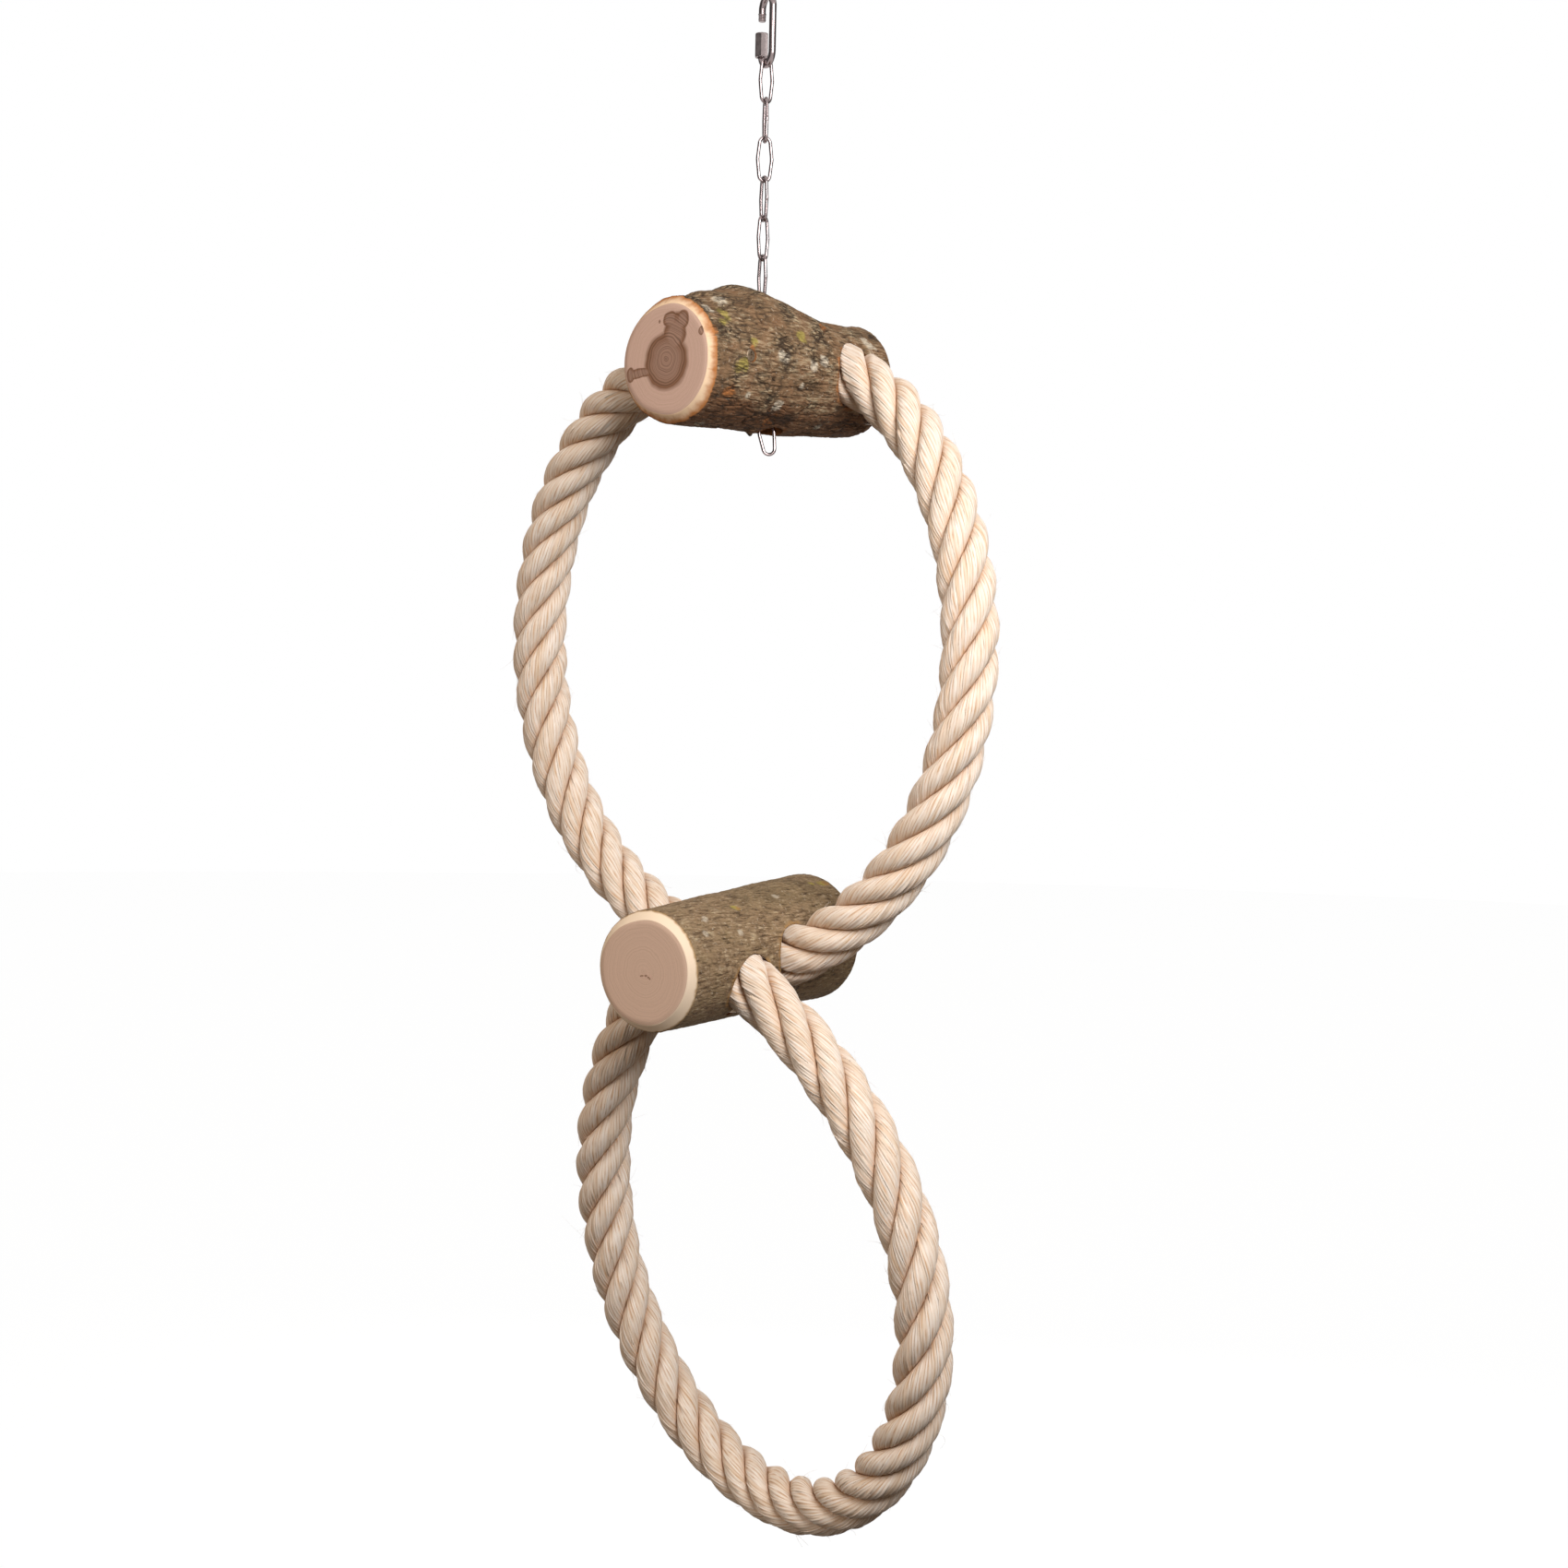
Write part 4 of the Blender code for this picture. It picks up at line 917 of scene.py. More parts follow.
def rough_bark(place, angle, radius):
    """Upper log's relief and looks: lumps and shallow plates split along the grain, over grit, with the
    burls and the nub as bells exp(-d^2)."""
    wide = cracks(place, angle, cells=40, step=0.020, width=0.13, seed=21)
    fine = cracks(place, angle, cells=90, step=0.012, width=0.16, seed=31)
    lumps = noise_round(place, angle, cells=24, step=0.013, seed=41)
    grit = noise_round(place, angle, cells=150, step=0.0020, seed=51)
    nub = np.exp(-((place - NUB["place"]) / NUB["size"]) ** 2
                 - (radius * turned_from(NUB["turn"], angle) / NUB["size"]) ** 2)
    from_burl = place - BURL_NEAR["place"]
    burl = BURL_NEAR["height"] * np.exp(
        -(from_burl / np.where(from_burl < 0, BURL_NEAR["steep"], BURL_NEAR["slack"])) ** 2)
    burl = burl + BURL_FAR["height"] * np.exp(-((place - BURL_FAR["place"]) / BURL_FAR["length"]) ** 2)
    burl = burl * np.exp(-(turned_from(math.pi / 2, angle) / BURL_WIDTH) ** 2)
    relief = (ROUGH_RELIEF["lumps"] * lumps + ROUGH_RELIEF["grit"] * grit
              + ROUGH_RELIEF["wide_cracks"] * wide + ROUGH_RELIEF["fine_cracks"] * fine
              + NUB["height"] * nub + burl)
    # The lower side turns darker and redder: partly the bark's own red-brown, partly painted shade
    low = smooth_step(-0.25, -0.75, np.sin(angle) + 0.25 * lumps)
    values = {"crack": np.clip(0.7 * wide + 0.35 * fine + nub, 0, 1),
              "ridge": smooth_step(-0.6, 0.7, lumps + 0.6 * grit), "tinge": 0.75 * low}
    for seed, (label, spots) in enumerate(UPPER_PATCHES.items(), start=61):
        values[label] = patches(place, angle, radius, spots, seed)
    return relief, values


def smooth_bark(place, angle, radius):
    """Lower log's relief and looks: young bark, nearly smooth, with small raised lenticels."""
    lumps = noise_round(place, angle, cells=16, step=0.016, seed=71)
    corky = smooth_step(0.1, 0.7, noise_round(place, angle, cells=110, step=0.0022, seed=72))
    grit = noise_round(place, angle, cells=170, step=0.0013, seed=73)
    relief = (SMOOTH_RELIEF["lumps"] * lumps + SMOOTH_RELIEF["corky"] * corky
              + SMOOTH_RELIEF["grit"] * grit)
    algae = 0.6 * noise_round(place, angle, cells=12, step=0.02, seed=75)
    green = smooth_step(0.1, 0.9, 0.55 * np.sin(angle + 0.2) + algae)
    values = {"crack": 0.35 * smooth_step(0.2, 0.9, -grit), "ridge": 0.25 + 0.75 * corky,
              "tinge": 0.6 * green}
    for seed, (label, spots) in enumerate(LOWER_PATCHES.items(), start=81):
        values[label] = patches(place, angle, radius, spots, seed)
    values["pale"] = 0.8 * values["pale"]
    return relief, values


def log_mesh(name, near, far, radius_at, rise_at, relief_at, frame_of_log, looks, holes):
    """Log: end face, chamfer, bark, chamfer, end face, as rings of radius r(place, angle).

    r is the least of the bark, radius + relief, and of the two cones that the chamfers cut. depth keeps
    how far below the bark, in mm, each point lies. holes are (axis point, direction, radius).
    """
    columns = int(round(TURN * UPPER_NEAR_RADIUS / looks.column_step / 8)) * 8
    angle = -np.arange(columns) * TURN / columns
    zone = CHAMFER_BACK * 1.5
    cut = np.arange(CHAMFER_ROWS) * zone / CHAMFER_ROWS
    middle = np.linspace(near + zone, far - zone, int(round((far - near - 2 * zone) / looks.row_step)) + 1)
    place = np.concatenate([near + cut, middle, far - cut[::-1]])[:, None]
    base = radius_at(place, angle)
    relief, values = relief_at(place, angle, base)
    bark = base + relief
    rasp = RASP_MARKS * noise_round(place, angle, cells=14, step=0.003, seed=91)
    rasp = rasp + RASP_SWAY * np.sin(2 * angle + 0.8)
    slope = CHAMFER_IN / CHAMFER_BACK
    cone = np.minimum(radius_at(near, angle) + (place - near) * slope,
                      radius_at(far, angle) + (far - place) * slope)
    radius = np.minimum(bark, cone - CHAMFER_IN + rasp)
    values["depth"] = (bark - radius) * 1000

    share = (np.arange(1, FACE_ROWS + 1) / (FACE_ROWS + 1))[:, None]
    radius = np.concatenate([share * radius[0], radius, share[::-1] * radius[-1]])
    rows = np.concatenate([np.full((FACE_ROWS, 1), near), place, np.full((FACE_ROWS, 1), far)])
    for label, numbers in values.items():
        numbers = np.broadcast_to(numbers, bark.shape)
        values[label] = np.pad(numbers, ((FACE_ROWS, FACE_ROWS), (0, 0)), "edge")
    local = np.stack(np.broadcast_arrays(radius * np.cos(angle), rows,
                                         rise_at(rows) + radius * np.sin(angle)), axis=-1)
    grid = placed(frame_of_log, local)
    chips = CHIP_RAGGED * noise_round(rows, angle, cells=70, step=0.003, seed=92)
    for axis_point, direction, hole in holes:
        off = grid - axis_point
        out = off @ direction
        reach = np.linalg.norm(off - out[..., None] * direction, axis=-1)
        rim = smooth_step(UNCHIPPED, CHIPPED, reach - hole + chips) * (out > -CHIP_BEHIND)
        values["rust"] = np.maximum(values["rust"], 0.9 * rim)
    uv = np.concatenate([local, local[:, :1]], axis=1)[..., (0, 2)]
    mesh = surface(name, grid, uv=uv, values=values)
    slot = np.zeros((len(rows) - 1, columns), np.int32)
    slot[:FACE_ROWS] = slot[-FACE_ROWS:] = 1
    slots = np.concatenate([slot.ravel(), np.ones(2 * columns, np.int32)])
    mesh.polygons.foreach_set("material_index", slots)
    return mesh


def drill(piece, bits, wall):
    """Cut drilled holes out of a piece; their walls wear their own material."""
    cutters = []
    for bit in bits:
        bit.materials.append(wall)
        cutter = add_object("bit", bit)
        change = piece.modifiers.new("bit", "BOOLEAN")
        change.object = cutter
        change.solver = "EXACT"
        change.material_mode = "TRANSFER"
        cutters.append(cutter)
    graph = bpy.context.evaluated_depsgraph_get()
    cut = bpy.data.meshes.new_from_object(piece.evaluated_get(graph), preserve_all_data_layers=True,
                                          depsgraph=graph)
    piece.modifiers.clear()
    piece.data = cut
    for cutter in cutters:
        bpy.data.objects.remove(cutter)


def socket_bit(route, name):
    """Curved bit along a rope's first stretch, from the socket's end outwards."""
    stretch = read_at(route, np.linspace(0, SOCKET_BIT, 24))
    stretch[0] += unit(route[0] - route[1]) * SEAT_GAP
    return surface(name, swept(stretch, SOCKET_RADIUS, 64, (0, 1, 0)))


def socket_axis(route):
    """Point on the log's surface, direction outwards and radius of a rope's socket."""
    mouth = read_at(route, np.array((SOCKET_DEPTH,)))[0]
    return mouth, unit(mouth - route[0]), SOCKET_RADIUS


def bore_axis():
    """Upper mouth and upward direction of the chain's slanted bore."""
    lean = spin(VIEW_TURN + math.pi / 2, "Z") @ spin(-BORE_LEAN, "Y")
    return placed(UPPER_FRAME, (0, 0, BORE_MOUTH_RISE)), lean[:3, 2]


def straight_bit(name, low, high, radius):
    """Straight bit between two points."""
    path = low + np.linspace(0, 1, 3)[:, None] * (high - low)
    across = (0, 1, 0) if abs(unit(high - low)[1]) < 0.8 else (1, 0, 0)
    return surface(name, swept(path, radius, 48, across))


def head_bits(lower):
    """Counterbores of the fasteners in the lower log, or else in the upper one."""
    return [straight_bit(name + "_bore", place - direction * HEAD_CLEARANCE, place + direction * SCREW_BIT,
                         head / 2 + HOLE_CLEARANCE)
            for name, place, direction, _, head in fasteners() if ("lower" in name) == lower]


def make_upper_log(looks):
    """Rough-barked log with the chain's bore, two rope sockets and three counterbores."""
    routes = rope_routes()
    right, left = routes["upper_rope_right"][0], routes["upper_rope_left"][0]
    mouth, up = bore_axis()
    foot = mouth - up * (BORE_MOUTH_RISE + UPPER_NEAR_RADIUS)
    holes = [socket_axis(right), socket_axis(left), (mouth, up, CHAIN_BORE / 2),
             (foot, -up, CHAIN_BORE / 2)]
    mesh = log_mesh("upper_log_bark", -UPPER_LOG_NEAR, UPPER_LOG_FAR, upper_radius, upper_bend, rough_bark,
                    UPPER_FRAME, looks, holes)
    shades = (looks.bark, looks.bark_pale, looks.bark_warm, looks.rind, looks.warm_sapwood)
    bark = bark_material("rough_branch_bark", shades, plate=0.0052, cracked=0.85, rind_depth=1.7,
                         looks=looks)
    piece = add_piece("upper_log_bark", mesh, "swing", bark, "bark_and_wood", "upper_log")
    mesh.materials.append(end_grain_material("sawn_heartwood", looks.end_face, looks.heartwood,
                                             HEART_FIGURE, looks))
    bits = [socket_bit(right, "right_socket"), socket_bit(left, "left_socket"),
            straight_bit("bore", foot - up * BORE_BIT_BELOW, mouth + up * BORE_BIT_ABOVE, CHAIN_BORE / 2)]
    drill(piece, bits + head_bits(lower=False), drilled_material(looks))


def make_lower_log(looks):
    """Smooth-barked log with four rope sockets and four counterbores underneath."""
    routes = rope_routes()
    ends_here = [routes["upper_rope_right"][0][::-1], routes["upper_rope_left"][0][::-1],
                 routes["lower_ring_rope"][0], routes["lower_ring_rope"][0][::-1]]
    mesh = log_mesh("lower_log_bark", -LOWER_LOG_LENGTH / 2, LOWER_LOG_LENGTH / 2, lower_radius,
                    np.zeros_like, smooth_bark, LOWER_FRAME, looks,
                    [socket_axis(route) for route in ends_here])
    shades = (looks.smooth_bark, looks.smooth_pale, looks.smooth_green, looks.smooth_rind, looks.sapwood)
    bark = bark_material("smooth_branch_bark", shades, plate=0.0030, cracked=0.30, rind_depth=0.5,
                         looks=looks)
    piece = add_piece("lower_log_bark", mesh, "swing", bark, "bark_and_wood", "lower_log")
    mesh.materials.append(end_grain_material("sawn_sapwood", looks.lower_end, looks.heartwood, PITH_FLECKS,
                                             looks))
    bits = [socket_bit(route, f"socket_{number}") for number, route in enumerate(ends_here)]
    drill(piece, bits + head_bits(lower=True), drilled_material(looks))


# Chain and quick link

QUICK_RADIUS = QUICK_WIRE / 2
QUICK_BOTTOM = -QUICK_INNER_LENGTH - QUICK_RADIUS
QUICK_BOW = QUICK_SPACING / 2
THREAD_RADIUS = QUICK_RADIUS * STUB_SWELL
NUT_LOW = QUICK_BOTTOM + QUICK_BOW - NUT_SINK
STUB_FOOT = NUT_LOW + NUT_LENGTH + GATE_GAP
QUICK_FRAME = spin(VIEW_TURN + math.pi / 2 + QUICK_TURN, "Z")
LINK_LENGTH = CHAIN_PITCH + SEAT_GAP + CHAIN_WIRE

# Turns an edge of the nut to the viewer, as photographed
NUT_TURN = math.radians(30)
NUT_EDGE = 0.00008
# The thread fades out before the nut's faces, and on the wire into a plain collar and a tapered lead
NUT_THREAD_FADE = 0.0008
THREAD_RUN_OUT = 0.0004
COLLAR_SWELL = 0.0001
WIRE_LEAD = 0.0006
LEAD_SHRINK = 0.14
WIRE_STEP = 0.0005
# Share of the chain's wire that is drawn, so that links clear each other at their limits
LINK_WIRE_FIT = 0.975
WELD_SWELL = 0.09
WELD_LENGTH = 0.0008


def arc(height, radius, start, end, count):
    """Points on an arc in the XZ plane, about a centre above the origin; angles from +X towards +Z."""
    angle = np.linspace(start, end, count)
    return np.stack([radius * np.cos(angle), np.zeros(count), height + radius * np.sin(angle)], axis=1)


def quick_link_wire(looks):
    """Bent wire from the threaded stub round to the limb in the nut.

    The thread is a helical triangle wave on the wire's radius.
    """
    path = np.vstack([(-QUICK_BOW, 0, STUB_FOOT), (-QUICK_BOW, 0, STUB_FOOT + STUB_LENGTH),
                      arc(QUICK_RADIUS - QUICK_BOW, QUICK_BOW, math.pi, 0, 60),
                      arc(QUICK_BOTTOM + QUICK_BOW, QUICK_BOW, 0, -math.pi, 60),
                      (-QUICK_BOW, 0, NUT_LOW + THREAD_IN_NUT)])
    length = along(path)[-1]
    in_nut = length - (THREAD_IN_NUT - NUT_SINK)
    fine = looks.thread_pitch / 8
    place = np.concatenate([np.arange(0, STUB_LENGTH + fine, fine),
                            np.arange(STUB_LENGTH + 2 * fine, in_nut, WIRE_STEP),
                            np.arange(in_nut, length, fine), (length,)])
    row = place[:, None]
    columns = 32
    wave = saw(row / looks.thread_pitch + np.arange(columns) / columns)
    threaded = (row < STUB_LENGTH - THREAD_RUN_OUT) | (row > in_nut + WIRE_LEAD)
    collar = (row > STUB_LENGTH - THREAD_RUN_OUT) & (row < STUB_LENGTH + COLLAR_SWELL)
    radius = np.where(threaded, THREAD_RADIUS - looks.thread_depth * (1 - wave), QUICK_RADIUS)
    radius = np.where(collar, THREAD_RADIUS + COLLAR_SWELL, radius)
    radius = radius * (1 - LEAD_SHRINK * (1 - smooth_step(0, WIRE_LEAD, row)))
    return placed(QUICK_FRAME, swept(read_at(path, place), radius, columns, (0, 1, 0)))


def quick_link_nut(looks):
    """Long hexagon nut: flats and turned-off corners outside, thread inside, closed both ways.

    Outside, r = flat / cos(angle from the nearest flat's middle), held under a cone at both ends.
    """
    angle = np.arange(96) * TURN / 96
    flat = NUT_ACROSS_FLATS / 2
    corner = flat / math.cos(math.pi / 6)
    hexagon = flat / np.cos((angle + NUT_TURN) % (TURN / 6) - TURN / 12)
    height = np.concatenate([np.linspace(0, NUT_CORNER, 8),
                             np.linspace(NUT_CORNER, NUT_LENGTH - NUT_CORNER, 20)[1:-1],
                             np.linspace(NUT_LENGTH - NUT_CORNER, NUT_LENGTH, 8)])[:, None]
    from_end = np.minimum(height, NUT_LENGTH - height)
    cone = flat + NUT_EDGE / 2 + (corner - flat) * from_end / NUT_CORNER
    outer = -NUT_EDGE * np.logaddexp(-hexagon / NUT_EDGE, -cone / NUT_EDGE)
    bore = THREAD_RADIUS + HOLE_CLEARANCE
    inside = np.linspace(NUT_LENGTH, 0, 80)[:, None]
    faded = smooth_step(0, NUT_THREAD_FADE, np.minimum(inside, NUT_LENGTH - inside))
    inner = bore + looks.thread_depth / 2 * saw(inside / looks.thread_pitch - angle / TURN) * faded
    share = np.array((0.3, 0.7))[:, None]
    radius = np.concatenate([outer, outer[-1] + (bore - outer[-1]) * share, inner,
                             bore + (outer[0] - bore) * share])
    level = np.concatenate([height, np.full((2, 1), NUT_LENGTH), inside, np.zeros((2, 1))])
    return placed(QUICK_FRAME @ shift((-QUICK_BOW, 0, NUT_LOW)), turned(radius, angle, level))


def link_wire(rise, weld_side):
    """One chain link: round ends, sides bent out to the waist, and on one side the swelling of its butt
    weld, a bell exp(-d^2)."""
    wire = CHAIN_WIRE / 2
    half = LINK_LENGTH / 2
    waist = LINK_WIDTH / 2 - wire
    shoulder = half - LINK_END_RADIUS
    lean = math.atan2(waist - LINK_END_RADIUS, shoulder)
    middle = rise - half
    outline = np.vstack([arc(middle + shoulder, LINK_END_RADIUS, math.pi - lean, lean, 24),
                         (waist, 0, middle),
                         arc(middle - shoulder, LINK_END_RADIUS, -lean, lean - math.pi, 24),
                         (-waist, 0, middle)])
    outline = np.vstack([outline, outline[:1]])
    rows = 128
    path = read_at(outline, np.arange(rows) * along(outline)[-1] / rows)
    for _ in range(3):
        path = (np.roll(path, 1, axis=0) + 2 * path + np.roll(path, -1, axis=0)) / 4
    # Smoothing draws the ends in; they go back to where the next link seats
    path[:, 2] = middle + (path[:, 2] - middle) * 2 * half / np.ptp(path[:, 2])
    weld = np.exp(-((path[:, 2] - middle) / WELD_LENGTH) ** 2) * (path[:, 0] * weld_side > 0)
    radius = wire * (LINK_WIRE_FIT + WELD_SWELL * weld)
    return swept(path, radius[:, None], 20, (0, 1, 0), closed=True)


def link_frames():
    """Rise of the top wire and world frame of each link, hung from the one above."""
    leans = [0.0] * (len(LINK_TURNS_DEG) - 2) + [-math.asin(LAST_LINK_SHIFT / CHAIN_PITCH), LAST_LINK_LEAN]
    matrix, above = QUICK_FRAME, QUICK_TURN
    rise, drop = QUICK_RADIUS + CHAIN_WIRE / 2 + SEAT_GAP, QUICK_BOTTOM
    for turn_deg, lean in zip(LINK_TURNS_DEG, leans):
        turn = math.radians(turn_deg)
        matrix = matrix @ shift((0, 0, drop)) @ spin(lean, "X") @ spin(turn - above, "Z")
        yield rise, matrix
        drop = rise - LINK_LENGTH
        rise, above = CHAIN_WIRE + SEAT_GAP, turn


def make_chain(looks):
    """Quick link, its nut and the ten links."""
    steel = metal_material("drawn_stainless_steel", looks.steel, 0.2)
    body = surface("quick_link", quick_link_wire(looks))
    body.set_sharp_from_angle(angle=math.radians(40))
    add_piece("quick_link", body, "quick_link", steel, "stainless_steel", "quick_link_body")
    nut = surface("hexagon_nut", quick_link_nut(looks), closed=True)
    nut.set_sharp_from_angle(angle=math.radians(25))
    nut_steel = metal_material("turned_stainless_steel", looks.nut_steel, 0.34)
    add_piece("hexagon_nut", nut, "nut", nut_steel, "stainless_steel", "quick_link_nut")
    for number, (rise, matrix) in enumerate(link_frames(), start=1):
        name = f"link_{number:02d}"
        wire = placed(matrix, link_wire(rise, 1 if number % 2 else -1))
        add_piece(name + "_wire", surface(name + "_wire", wire, closed=True), name, steel,
                  "stainless_steel", f"chain_{name}")


# Fasteners

SCREW_THREAD = 0.0016
THREAD_SHARE = 0.30
SHANK_STEP = 0.0004
# Head's side from seat to crown: share of its radius and of its height
HEAD_RIM = np.array(((0.98, 0.0), (1.0, 0.15), (1.0, 0.62), (0.97, 0.72), (0.90, 0.82)))
HEAD_CROWN = 0.18
# Cross recess: half an arm's width at its upper edge and at its floor, its reach at both as shares of the
# head's diameter, and its depth as a share of the head's height
ARM_WIDTHS = (0.00062, 0.00046)
ARM_REACHES = (0.31, 0.26)
RECESS_DEPTH = 0.55


def fasteners():
    """Name, seat point, outward direction, length and head diameter of each screw and of the pin."""
    sink = SCREW_HEAD_HEIGHT + SEAT_GAP
    found = []
    for label, side, place, rise in (("left", 1, UPPER_LEFT["place"] - SCREW_OFFSET, LEFT_SCREW_RISE),
                                     ("right", -1, UPPER_RIGHT["place"] + SCREW_OFFSET, RIGHT_SCREW_RISE)):
        around = math.atan2(rise, side * UPPER_FAR_RADIUS)
        reach = math.sqrt(upper_radius(place, around) ** 2 - rise ** 2) - sink
        found.append((f"rope_screw_upper_{label}", placed(UPPER_FRAME, (side * reach, place, rise)),
                      np.array((side, 0.0, 0.0)), LONG_SCREW, SCREW_HEAD))
    down = -LOWER_FRAME[:3, 2]
    for ring, place in (("upper_ring", LOWER_ENTRY_PLACE), ("lower_ring", LOOP_PLACE)):
        for label, side in (("right", 1), ("left", -1)):
            across = side * LOWER_SCREW_REACH
            around = -math.acos(across / lower_radius(place, -math.pi / 2))
            depth = math.sqrt(lower_radius(place, around) ** 2 - across ** 2) - sink
            found.append((f"rope_screw_lower_{ring}_{label}", placed(LOWER_FRAME, (across, place, -depth)),
                          down, SHORT_SCREW, SCREW_HEAD))
    back = math.sqrt(upper_radius(0, math.atan2(PIN_RISE, -UPPER_FAR_RADIUS)) ** 2 - PIN_RISE ** 2)
    back -= PIN_HEAD_HEIGHT + SEAT_GAP
    front = upper_radius(0, 0) - PIN_END_COVER
    found.append(("chain_pin", placed(UPPER_FRAME, (-back, 0, PIN_RISE)), np.array((-1.0, 0.0, 0.0)),
                  back + front, PIN_HEAD))
    return found


def screw_surface(length, head, head_height, shank, threaded):
    """Fastener standing on its point along +Z: tip, shank with a helical thread, head with a cross recess.

    The recess lowers the head where |x| or |y| is under half an arm's width, out to the arm's reach.
    threaded is 1, or 0 for a plain pin.
    """
    angle = np.arange(48) * TURN / 48
    rows = np.linspace(-length, -SHANK_STEP / 2, int(length / SHANK_STEP))[:, None]
    taper = smooth_step(-length - SHANK_STEP, -length + SCREW_POINT, rows)
    core = shank / 2 * (1 - THREAD_SHARE * threaded * saw(rows / SCREW_THREAD - angle / TURN)) * taper
    share = np.linspace(0.84, 0.03, 22)[:, None]
    crown = share * head / 2 + 0 * angle
    x, y = np.abs(crown * np.cos(angle)), np.abs(crown * np.sin(angle))
    arm = smooth_step(*ARM_WIDTHS, np.minimum(x, y)) * smooth_step(*(head * np.array(ARM_REACHES)), crown)
    top = head_height * (1 - HEAD_CROWN * share ** 2) - threaded * arm * head_height * RECESS_DEPTH
    radius = np.concatenate([core, HEAD_RIM[:, :1] * head / 2 + 0 * angle, crown])
    level = np.concatenate([rows + 0 * angle, HEAD_RIM[:, 1:] * head_height + 0 * angle, top])
    return turned(radius, angle, level)


def make_fasteners(looks):
    """Six cross-head rope screws and the chain's pin."""
    zinc = metal_material("dull_zinc_plate", looks.zinc, 0.55)
    for name, place, direction, length, head in fasteners():
        is_pin = name == "chain_pin"
        height, shank = (PIN_HEAD_HEIGHT, PIN_DIAMETER) if is_pin else (SCREW_HEAD_HEIGHT, SCREW_DIAMETER)
        aim = np.array(Vector(direction).to_track_quat("Z", "Y").to_matrix().to_4x4())
        seat = shift(place + direction * SEAT_GAP) @ aim
        grid = placed(seat, screw_surface(length, head, height, shank, 0 if is_pin else 1))
        mesh = surface(name + "_body", grid)
        mesh.set_sharp_from_angle(angle=math.radians(40))
        add_piece(name + "_body", mesh, "swing", zinc, "zinc_screw", name)


# Studio

# Shadows in the photograph are warmer than its lights
WARM_ROOM = (1, 0.83, 0.68)
WARM_FILL = (1, 0.88, 0.76)
WHITE = (1, 1, 1)
FLOOR_RINGS = np.array((0.2, 0.6, 1.5, 4.0, 9.0))[:, None]
FLOOR_DEPTH = 0.02
FLAG_DISTANCE = 2.2
FLAG_HALF_HEIGHT = 1.6
# Grey cards: bearing from the camera's side of the swing, to the camera's right, width and brightness
FLAGS = {"left_flag": (math.radians(-68), 2.5, 0.10), "left_back_flag": (math.radians(-128), 2.5, 0.16),
         "right_flag": (math.radians(93), 2.1, 0.12), "right_back_flag": (math.radians(138), 2.1, 0.16)}


def swing_middle():
    """Middle of the CAD model's box."""
    return (CAD_BOX[0] + CAD_BOX[1]) / 2


def bearing_axes(turn):
    """Level directions to the right and towards the viewer, from a bearing about the swing."""
    return Vector((math.cos(turn), math.sin(turn), 0)), Vector((math.sin(turn), -math.cos(turn), 0))


def seen_white(tree):
    """1 for what the camera sees, also in reflections or through glass, and 0 for what lights the swing."""
    path = node(tree, "LightPath").node.outputs
    seen = node(tree, "Math", {0: path["Is Camera Ray"], 1: path["Is Glossy Ray"]}, operation="MAXIMUM")
    return node(tree, "Math", {0: seen, 1: path["Is Transmission Ray"]}, operation="MAXIMUM")


def make_floor(looks):
    """Pale matt floor: a disc that is white to the camera but keeps part of the swing's soft shadow."""
    angle = np.arange(96) * TURN / 96
    disc = turned(FLOOR_RINGS, angle, CAD_BOX[0].z - looks.floor_drop)
    under = disc - np.array((0, 0, FLOOR_DEPTH))
    mesh = surface("floor", np.concatenate([disc, under]))
    floor = add_object("floor", mesh)
    material, tree, shader = blank_material("pale_matt_floor")
    wear(tree, shader, Base_Color=linear("#453C33"), Roughness=0.9)
    glow = node(tree, "Emission", {"Color": WHITE, "Strength": 0.985})
    veil = node(tree, "BsdfDiffuse", {"Color": linear("#303030")})
    bright = node(tree, "AddShader", {0: glow, 1: veil})
    lit = node(tree, "MixShader", {0: seen_white(tree), 1: shader.outputs[0], 2: bright})
    tree.links.new(lit, tree.nodes["Material Output"].inputs["Surface"])
    mesh.materials.append(material)


def make_world(looks):
    """White room: white to the camera, and a plain level of light on the swing, more of it from above."""
    world = bpy.data.worlds.new("white_room")
    bpy.context.scene.world = world
    world.use_nodes = True
    tree = world.node_tree
    tree.nodes.clear()
    way = node(tree, "TexCoord").node.outputs["Generated"]
    height = node(tree, "SeparateXYZ", {"Vector": way}).node.outputs["Z"]
    level = node(tree, "MapRange", {"Value": height, "From Min": -0.6, "From Max": 0.6,
                                    "To Min": looks.ambient * 0.1, "To Max": looks.ambient * 1.7})
    dim = node(tree, "Background", {"Color": WARM_ROOM, "Strength": level})
    white = node(tree, "Background", {"Color": WHITE, "Strength": 1.0})
    mixed = node(tree, "MixShader", {0: seen_white(tree), 1: dim, 2: white})
    node(tree, "OutputWorld", {"Surface": mixed})


def make_lamp(name, power, size, right, toward, up):
    """Square soft lamp, placed from the swing's middle to the camera's right, towards it and up, and aimed
    back at the middle."""
    side, front = bearing_axes(CAMERA_AZIMUTH)
    light = bpy.data.lights.new(name, "AREA")
    light.energy = power
    light.shape = "SQUARE"
    light.size = size
    lamp = add_object(name, light)
    lamp.location = swing_middle() + side * right + front * toward + Vector((0, 0, up))
    lamp.rotation_euler = (swing_middle() - lamp.location).to_track_quat("-Z", "Y").to_euler()
    lamp.visible_camera = False
    return lamp


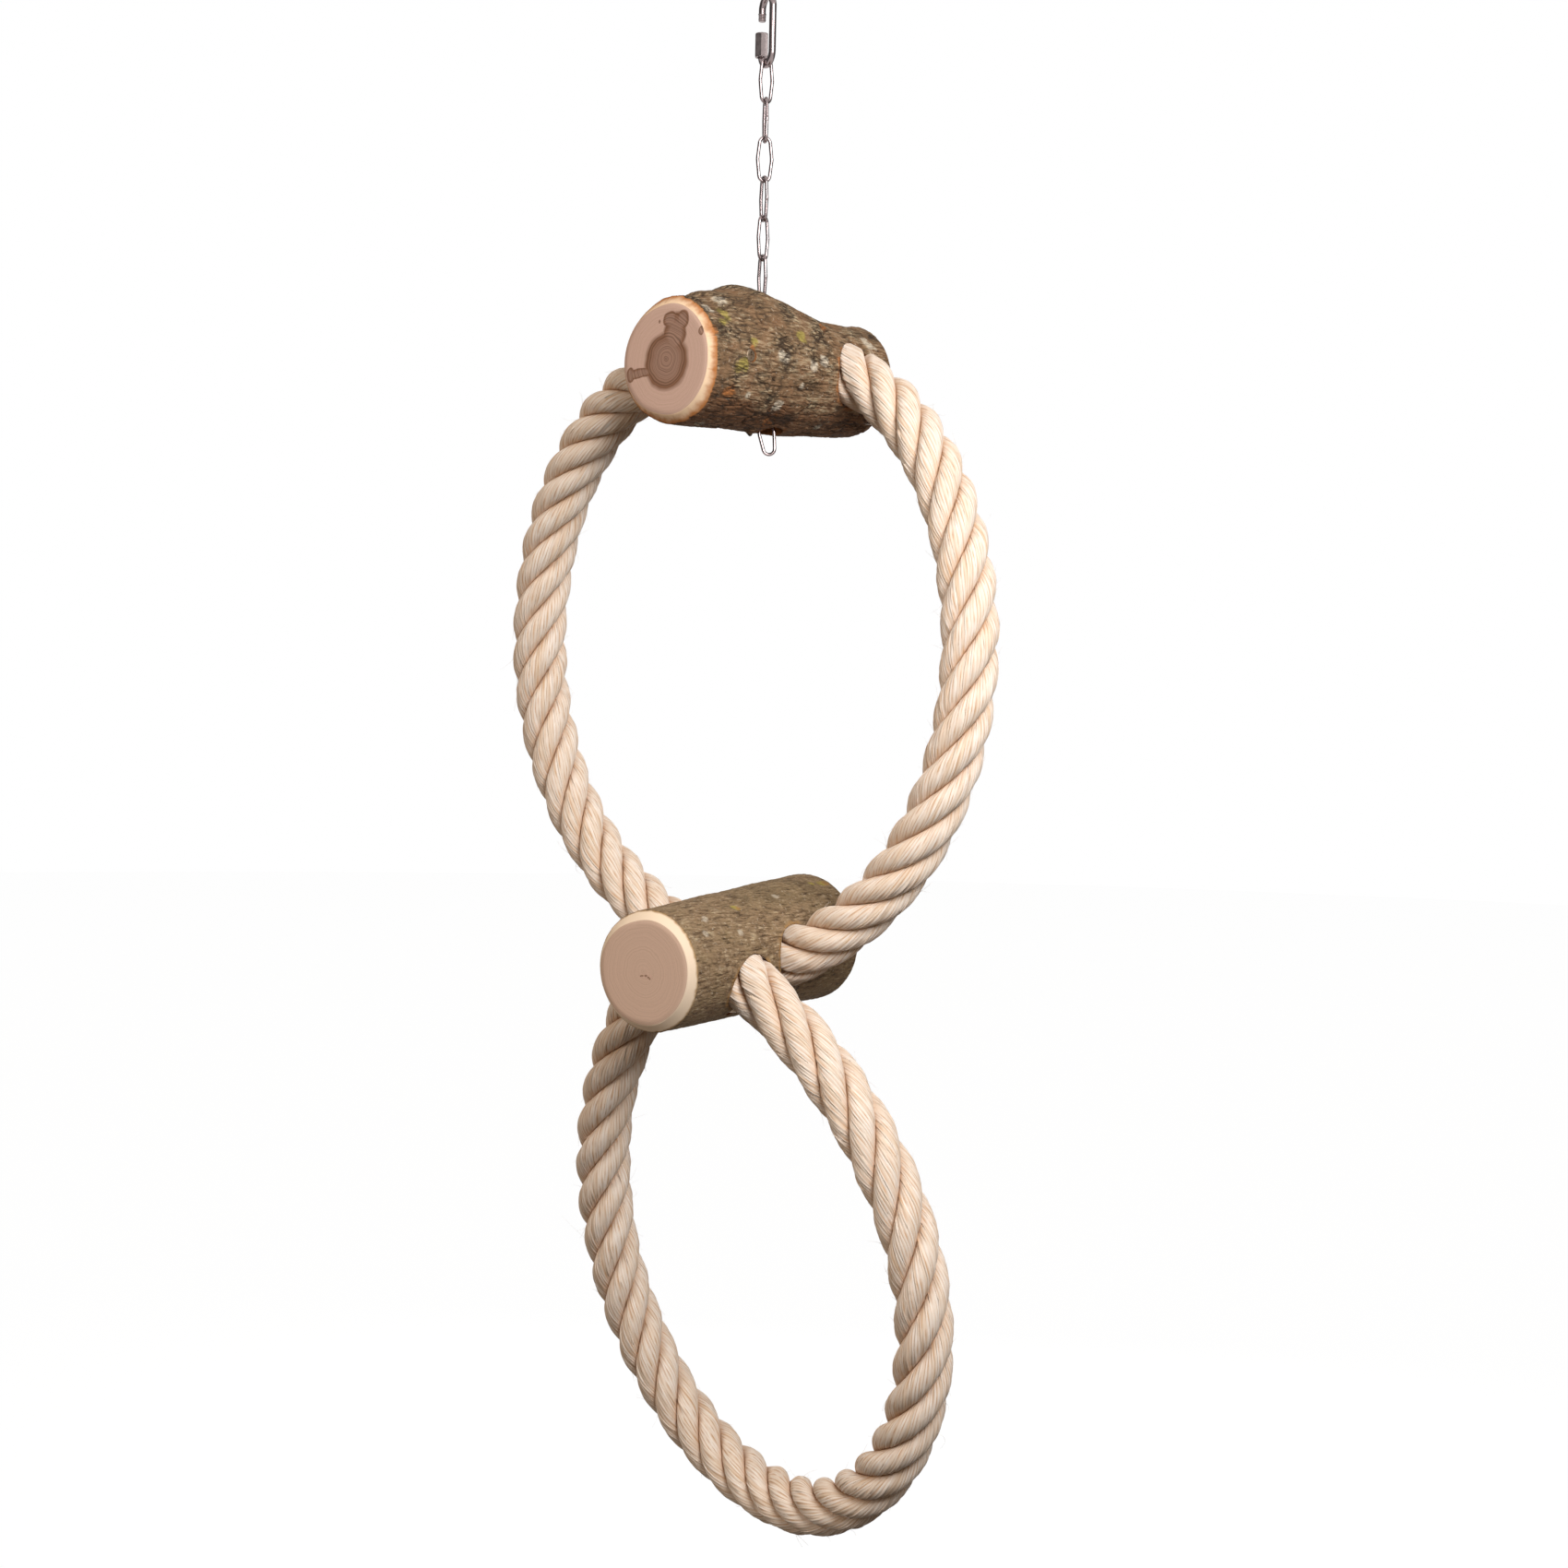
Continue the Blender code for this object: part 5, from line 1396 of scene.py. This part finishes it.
def make_flag(name, turn, width, brightness):
    """Grey card facing the swing, seen only in reflections, that gives bright metal its dark sides."""
    across, outward = bearing_axes(CAMERA_AZIMUTH + turn)
    across = across * (width / 2)
    tall = Vector((0, 0, FLAG_HALF_HEIGHT))
    centre = swing_middle() + outward * FLAG_DISTANCE
    mesh = bpy.data.meshes.new(name)
    mesh.from_pydata([centre - across - tall, centre + across - tall, centre + across + tall,
                      centre - across + tall], [], [(0, 1, 2, 3)])
    flag = add_object(name, mesh)
    material, tree, _ = blank_material("grey_card")
    glow = node(tree, "Emission", {"Color": WHITE, "Strength": brightness})
    tree.links.new(glow, tree.nodes["Material Output"].inputs["Surface"])
    mesh.materials.append(material)
    flag.visible_camera = False
    flag.visible_diffuse = False
    flag.visible_transmission = False
    flag.visible_shadow = False


def make_camera(looks):
    """Camera at the photograph's angle: level heading, pitched down a little and rolled."""
    level, front = bearing_axes(CAMERA_AZIMUTH)
    ahead = -front * math.cos(CAMERA_PITCH) - Vector((0, 0, math.sin(CAMERA_PITCH)))
    upright = level.cross(ahead)
    right = level * math.cos(CAMERA_ROLL) + upright * math.sin(CAMERA_ROLL)
    up = upright * math.cos(CAMERA_ROLL) - level * math.sin(CAMERA_ROLL)
    data = bpy.data.cameras.new("camera")
    data.lens = looks.lens
    data.sensor_width = 36
    camera = add_object("camera", data)
    turn = Matrix((right, up, -ahead)).transposed().to_4x4()
    camera.matrix_world = Matrix.Translation(CAMERA_PLACE) @ turn
    bpy.context.scene.camera = camera


class SWING_OT_ropes(bpy.types.Operator):
    """Lay the three ropes from yarned strands"""
    bl_idname = "swing.ropes"
    bl_label = "Ropes"

    def execute(self, context):
        make_ropes(context.scene.swing_rope)
        return {"FINISHED"}


class SWING_OT_upper_log(bpy.types.Operator):
    """Saw and drill the rough-barked upper log"""
    bl_idname = "swing.upper_log"
    bl_label = "Upper log"

    def execute(self, context):
        make_upper_log(context.scene.swing_logs)
        return {"FINISHED"}


class SWING_OT_lower_log(bpy.types.Operator):
    """Saw and drill the smooth-barked lower log"""
    bl_idname = "swing.lower_log"
    bl_label = "Lower log"

    def execute(self, context):
        make_lower_log(context.scene.swing_logs)
        return {"FINISHED"}


class SWING_OT_chain(bpy.types.Operator):
    """Bend the quick link and the chain"""
    bl_idname = "swing.chain"
    bl_label = "Chain and quick link"

    def execute(self, context):
        make_chain(context.scene.swing_metal)
        return {"FINISHED"}


class SWING_OT_fasteners(bpy.types.Operator):
    """Drive the rope screws and the chain's pin"""
    bl_idname = "swing.fasteners"
    bl_label = "Screws and pin"

    def execute(self, context):
        make_fasteners(context.scene.swing_metal)
        return {"FINISHED"}


class SWING_OT_studio(bpy.types.Operator):
    """Set the floor, the light and the camera"""
    bl_idname = "swing.studio"
    bl_label = "Studio"

    def execute(self, context):
        looks = context.scene.swing_studio
        make_floor(looks)
        make_world(looks)
        make_lamp("key_lamp", looks.key, size=0.55, right=0.38, toward=0.93, up=0.52)
        fill = make_lamp("fill_lamp", looks.fill, size=1.3, right=-1.8, toward=0.85, up=0.5)
        fill.data.color = WARM_FILL
        fill.visible_glossy = False
        back = make_lamp("back_lamp", looks.back, size=1.2, right=0.2, toward=-1.7, up=0.1)
        back.visible_glossy = False
        for name, values in FLAGS.items():
            make_flag(name, *values)
        make_camera(looks)
        context.scene.view_settings.view_transform = "Standard"
        return {"FINISHED"}


OPERATORS = (SWING_OT_studio, SWING_OT_ropes, SWING_OT_upper_log, SWING_OT_lower_log, SWING_OT_chain,
             SWING_OT_fasteners)
GROUPS = {"swing_rope": SwingRope, "swing_logs": SwingLogs, "swing_metal": SwingMetal,
          "swing_studio": SwingStudio}


class SWING_PT_panel(bpy.types.Panel):
    """Sizes, colours and steps of the swing"""
    bl_label = "Double ring swing"
    bl_idname = "SWING_PT_panel"
    bl_space_type = "VIEW_3D"
    bl_region_type = "UI"
    bl_category = "Swing"

    def draw(self, context):
        for operator in OPERATORS:
            self.layout.operator(operator.bl_idname)
        for label, group in GROUPS.items():
            column = self.layout.box().column()
            for value in group.__annotations__:
                column.prop(getattr(context.scene, label), value)


CLASSES = (*GROUPS.values(), *OPERATORS, SWING_PT_panel)


def register():
    for cls in CLASSES:
        bpy.utils.register_class(cls)
    for label, group in GROUPS.items():
        setattr(bpy.types.Scene, label, bpy.props.PointerProperty(type=group))


def unregister():
    for label in GROUPS:
        delattr(bpy.types.Scene, label)
    for cls in reversed(CLASSES):
        bpy.utils.unregister_class(cls)


def main():
    register()
    bpy.ops.swing.studio()
    bpy.ops.swing.ropes()
    bpy.ops.swing.upper_log()
    bpy.ops.swing.lower_log()
    bpy.ops.swing.chain()
    bpy.ops.swing.fasteners()


if __name__ == "__main__":
    main()
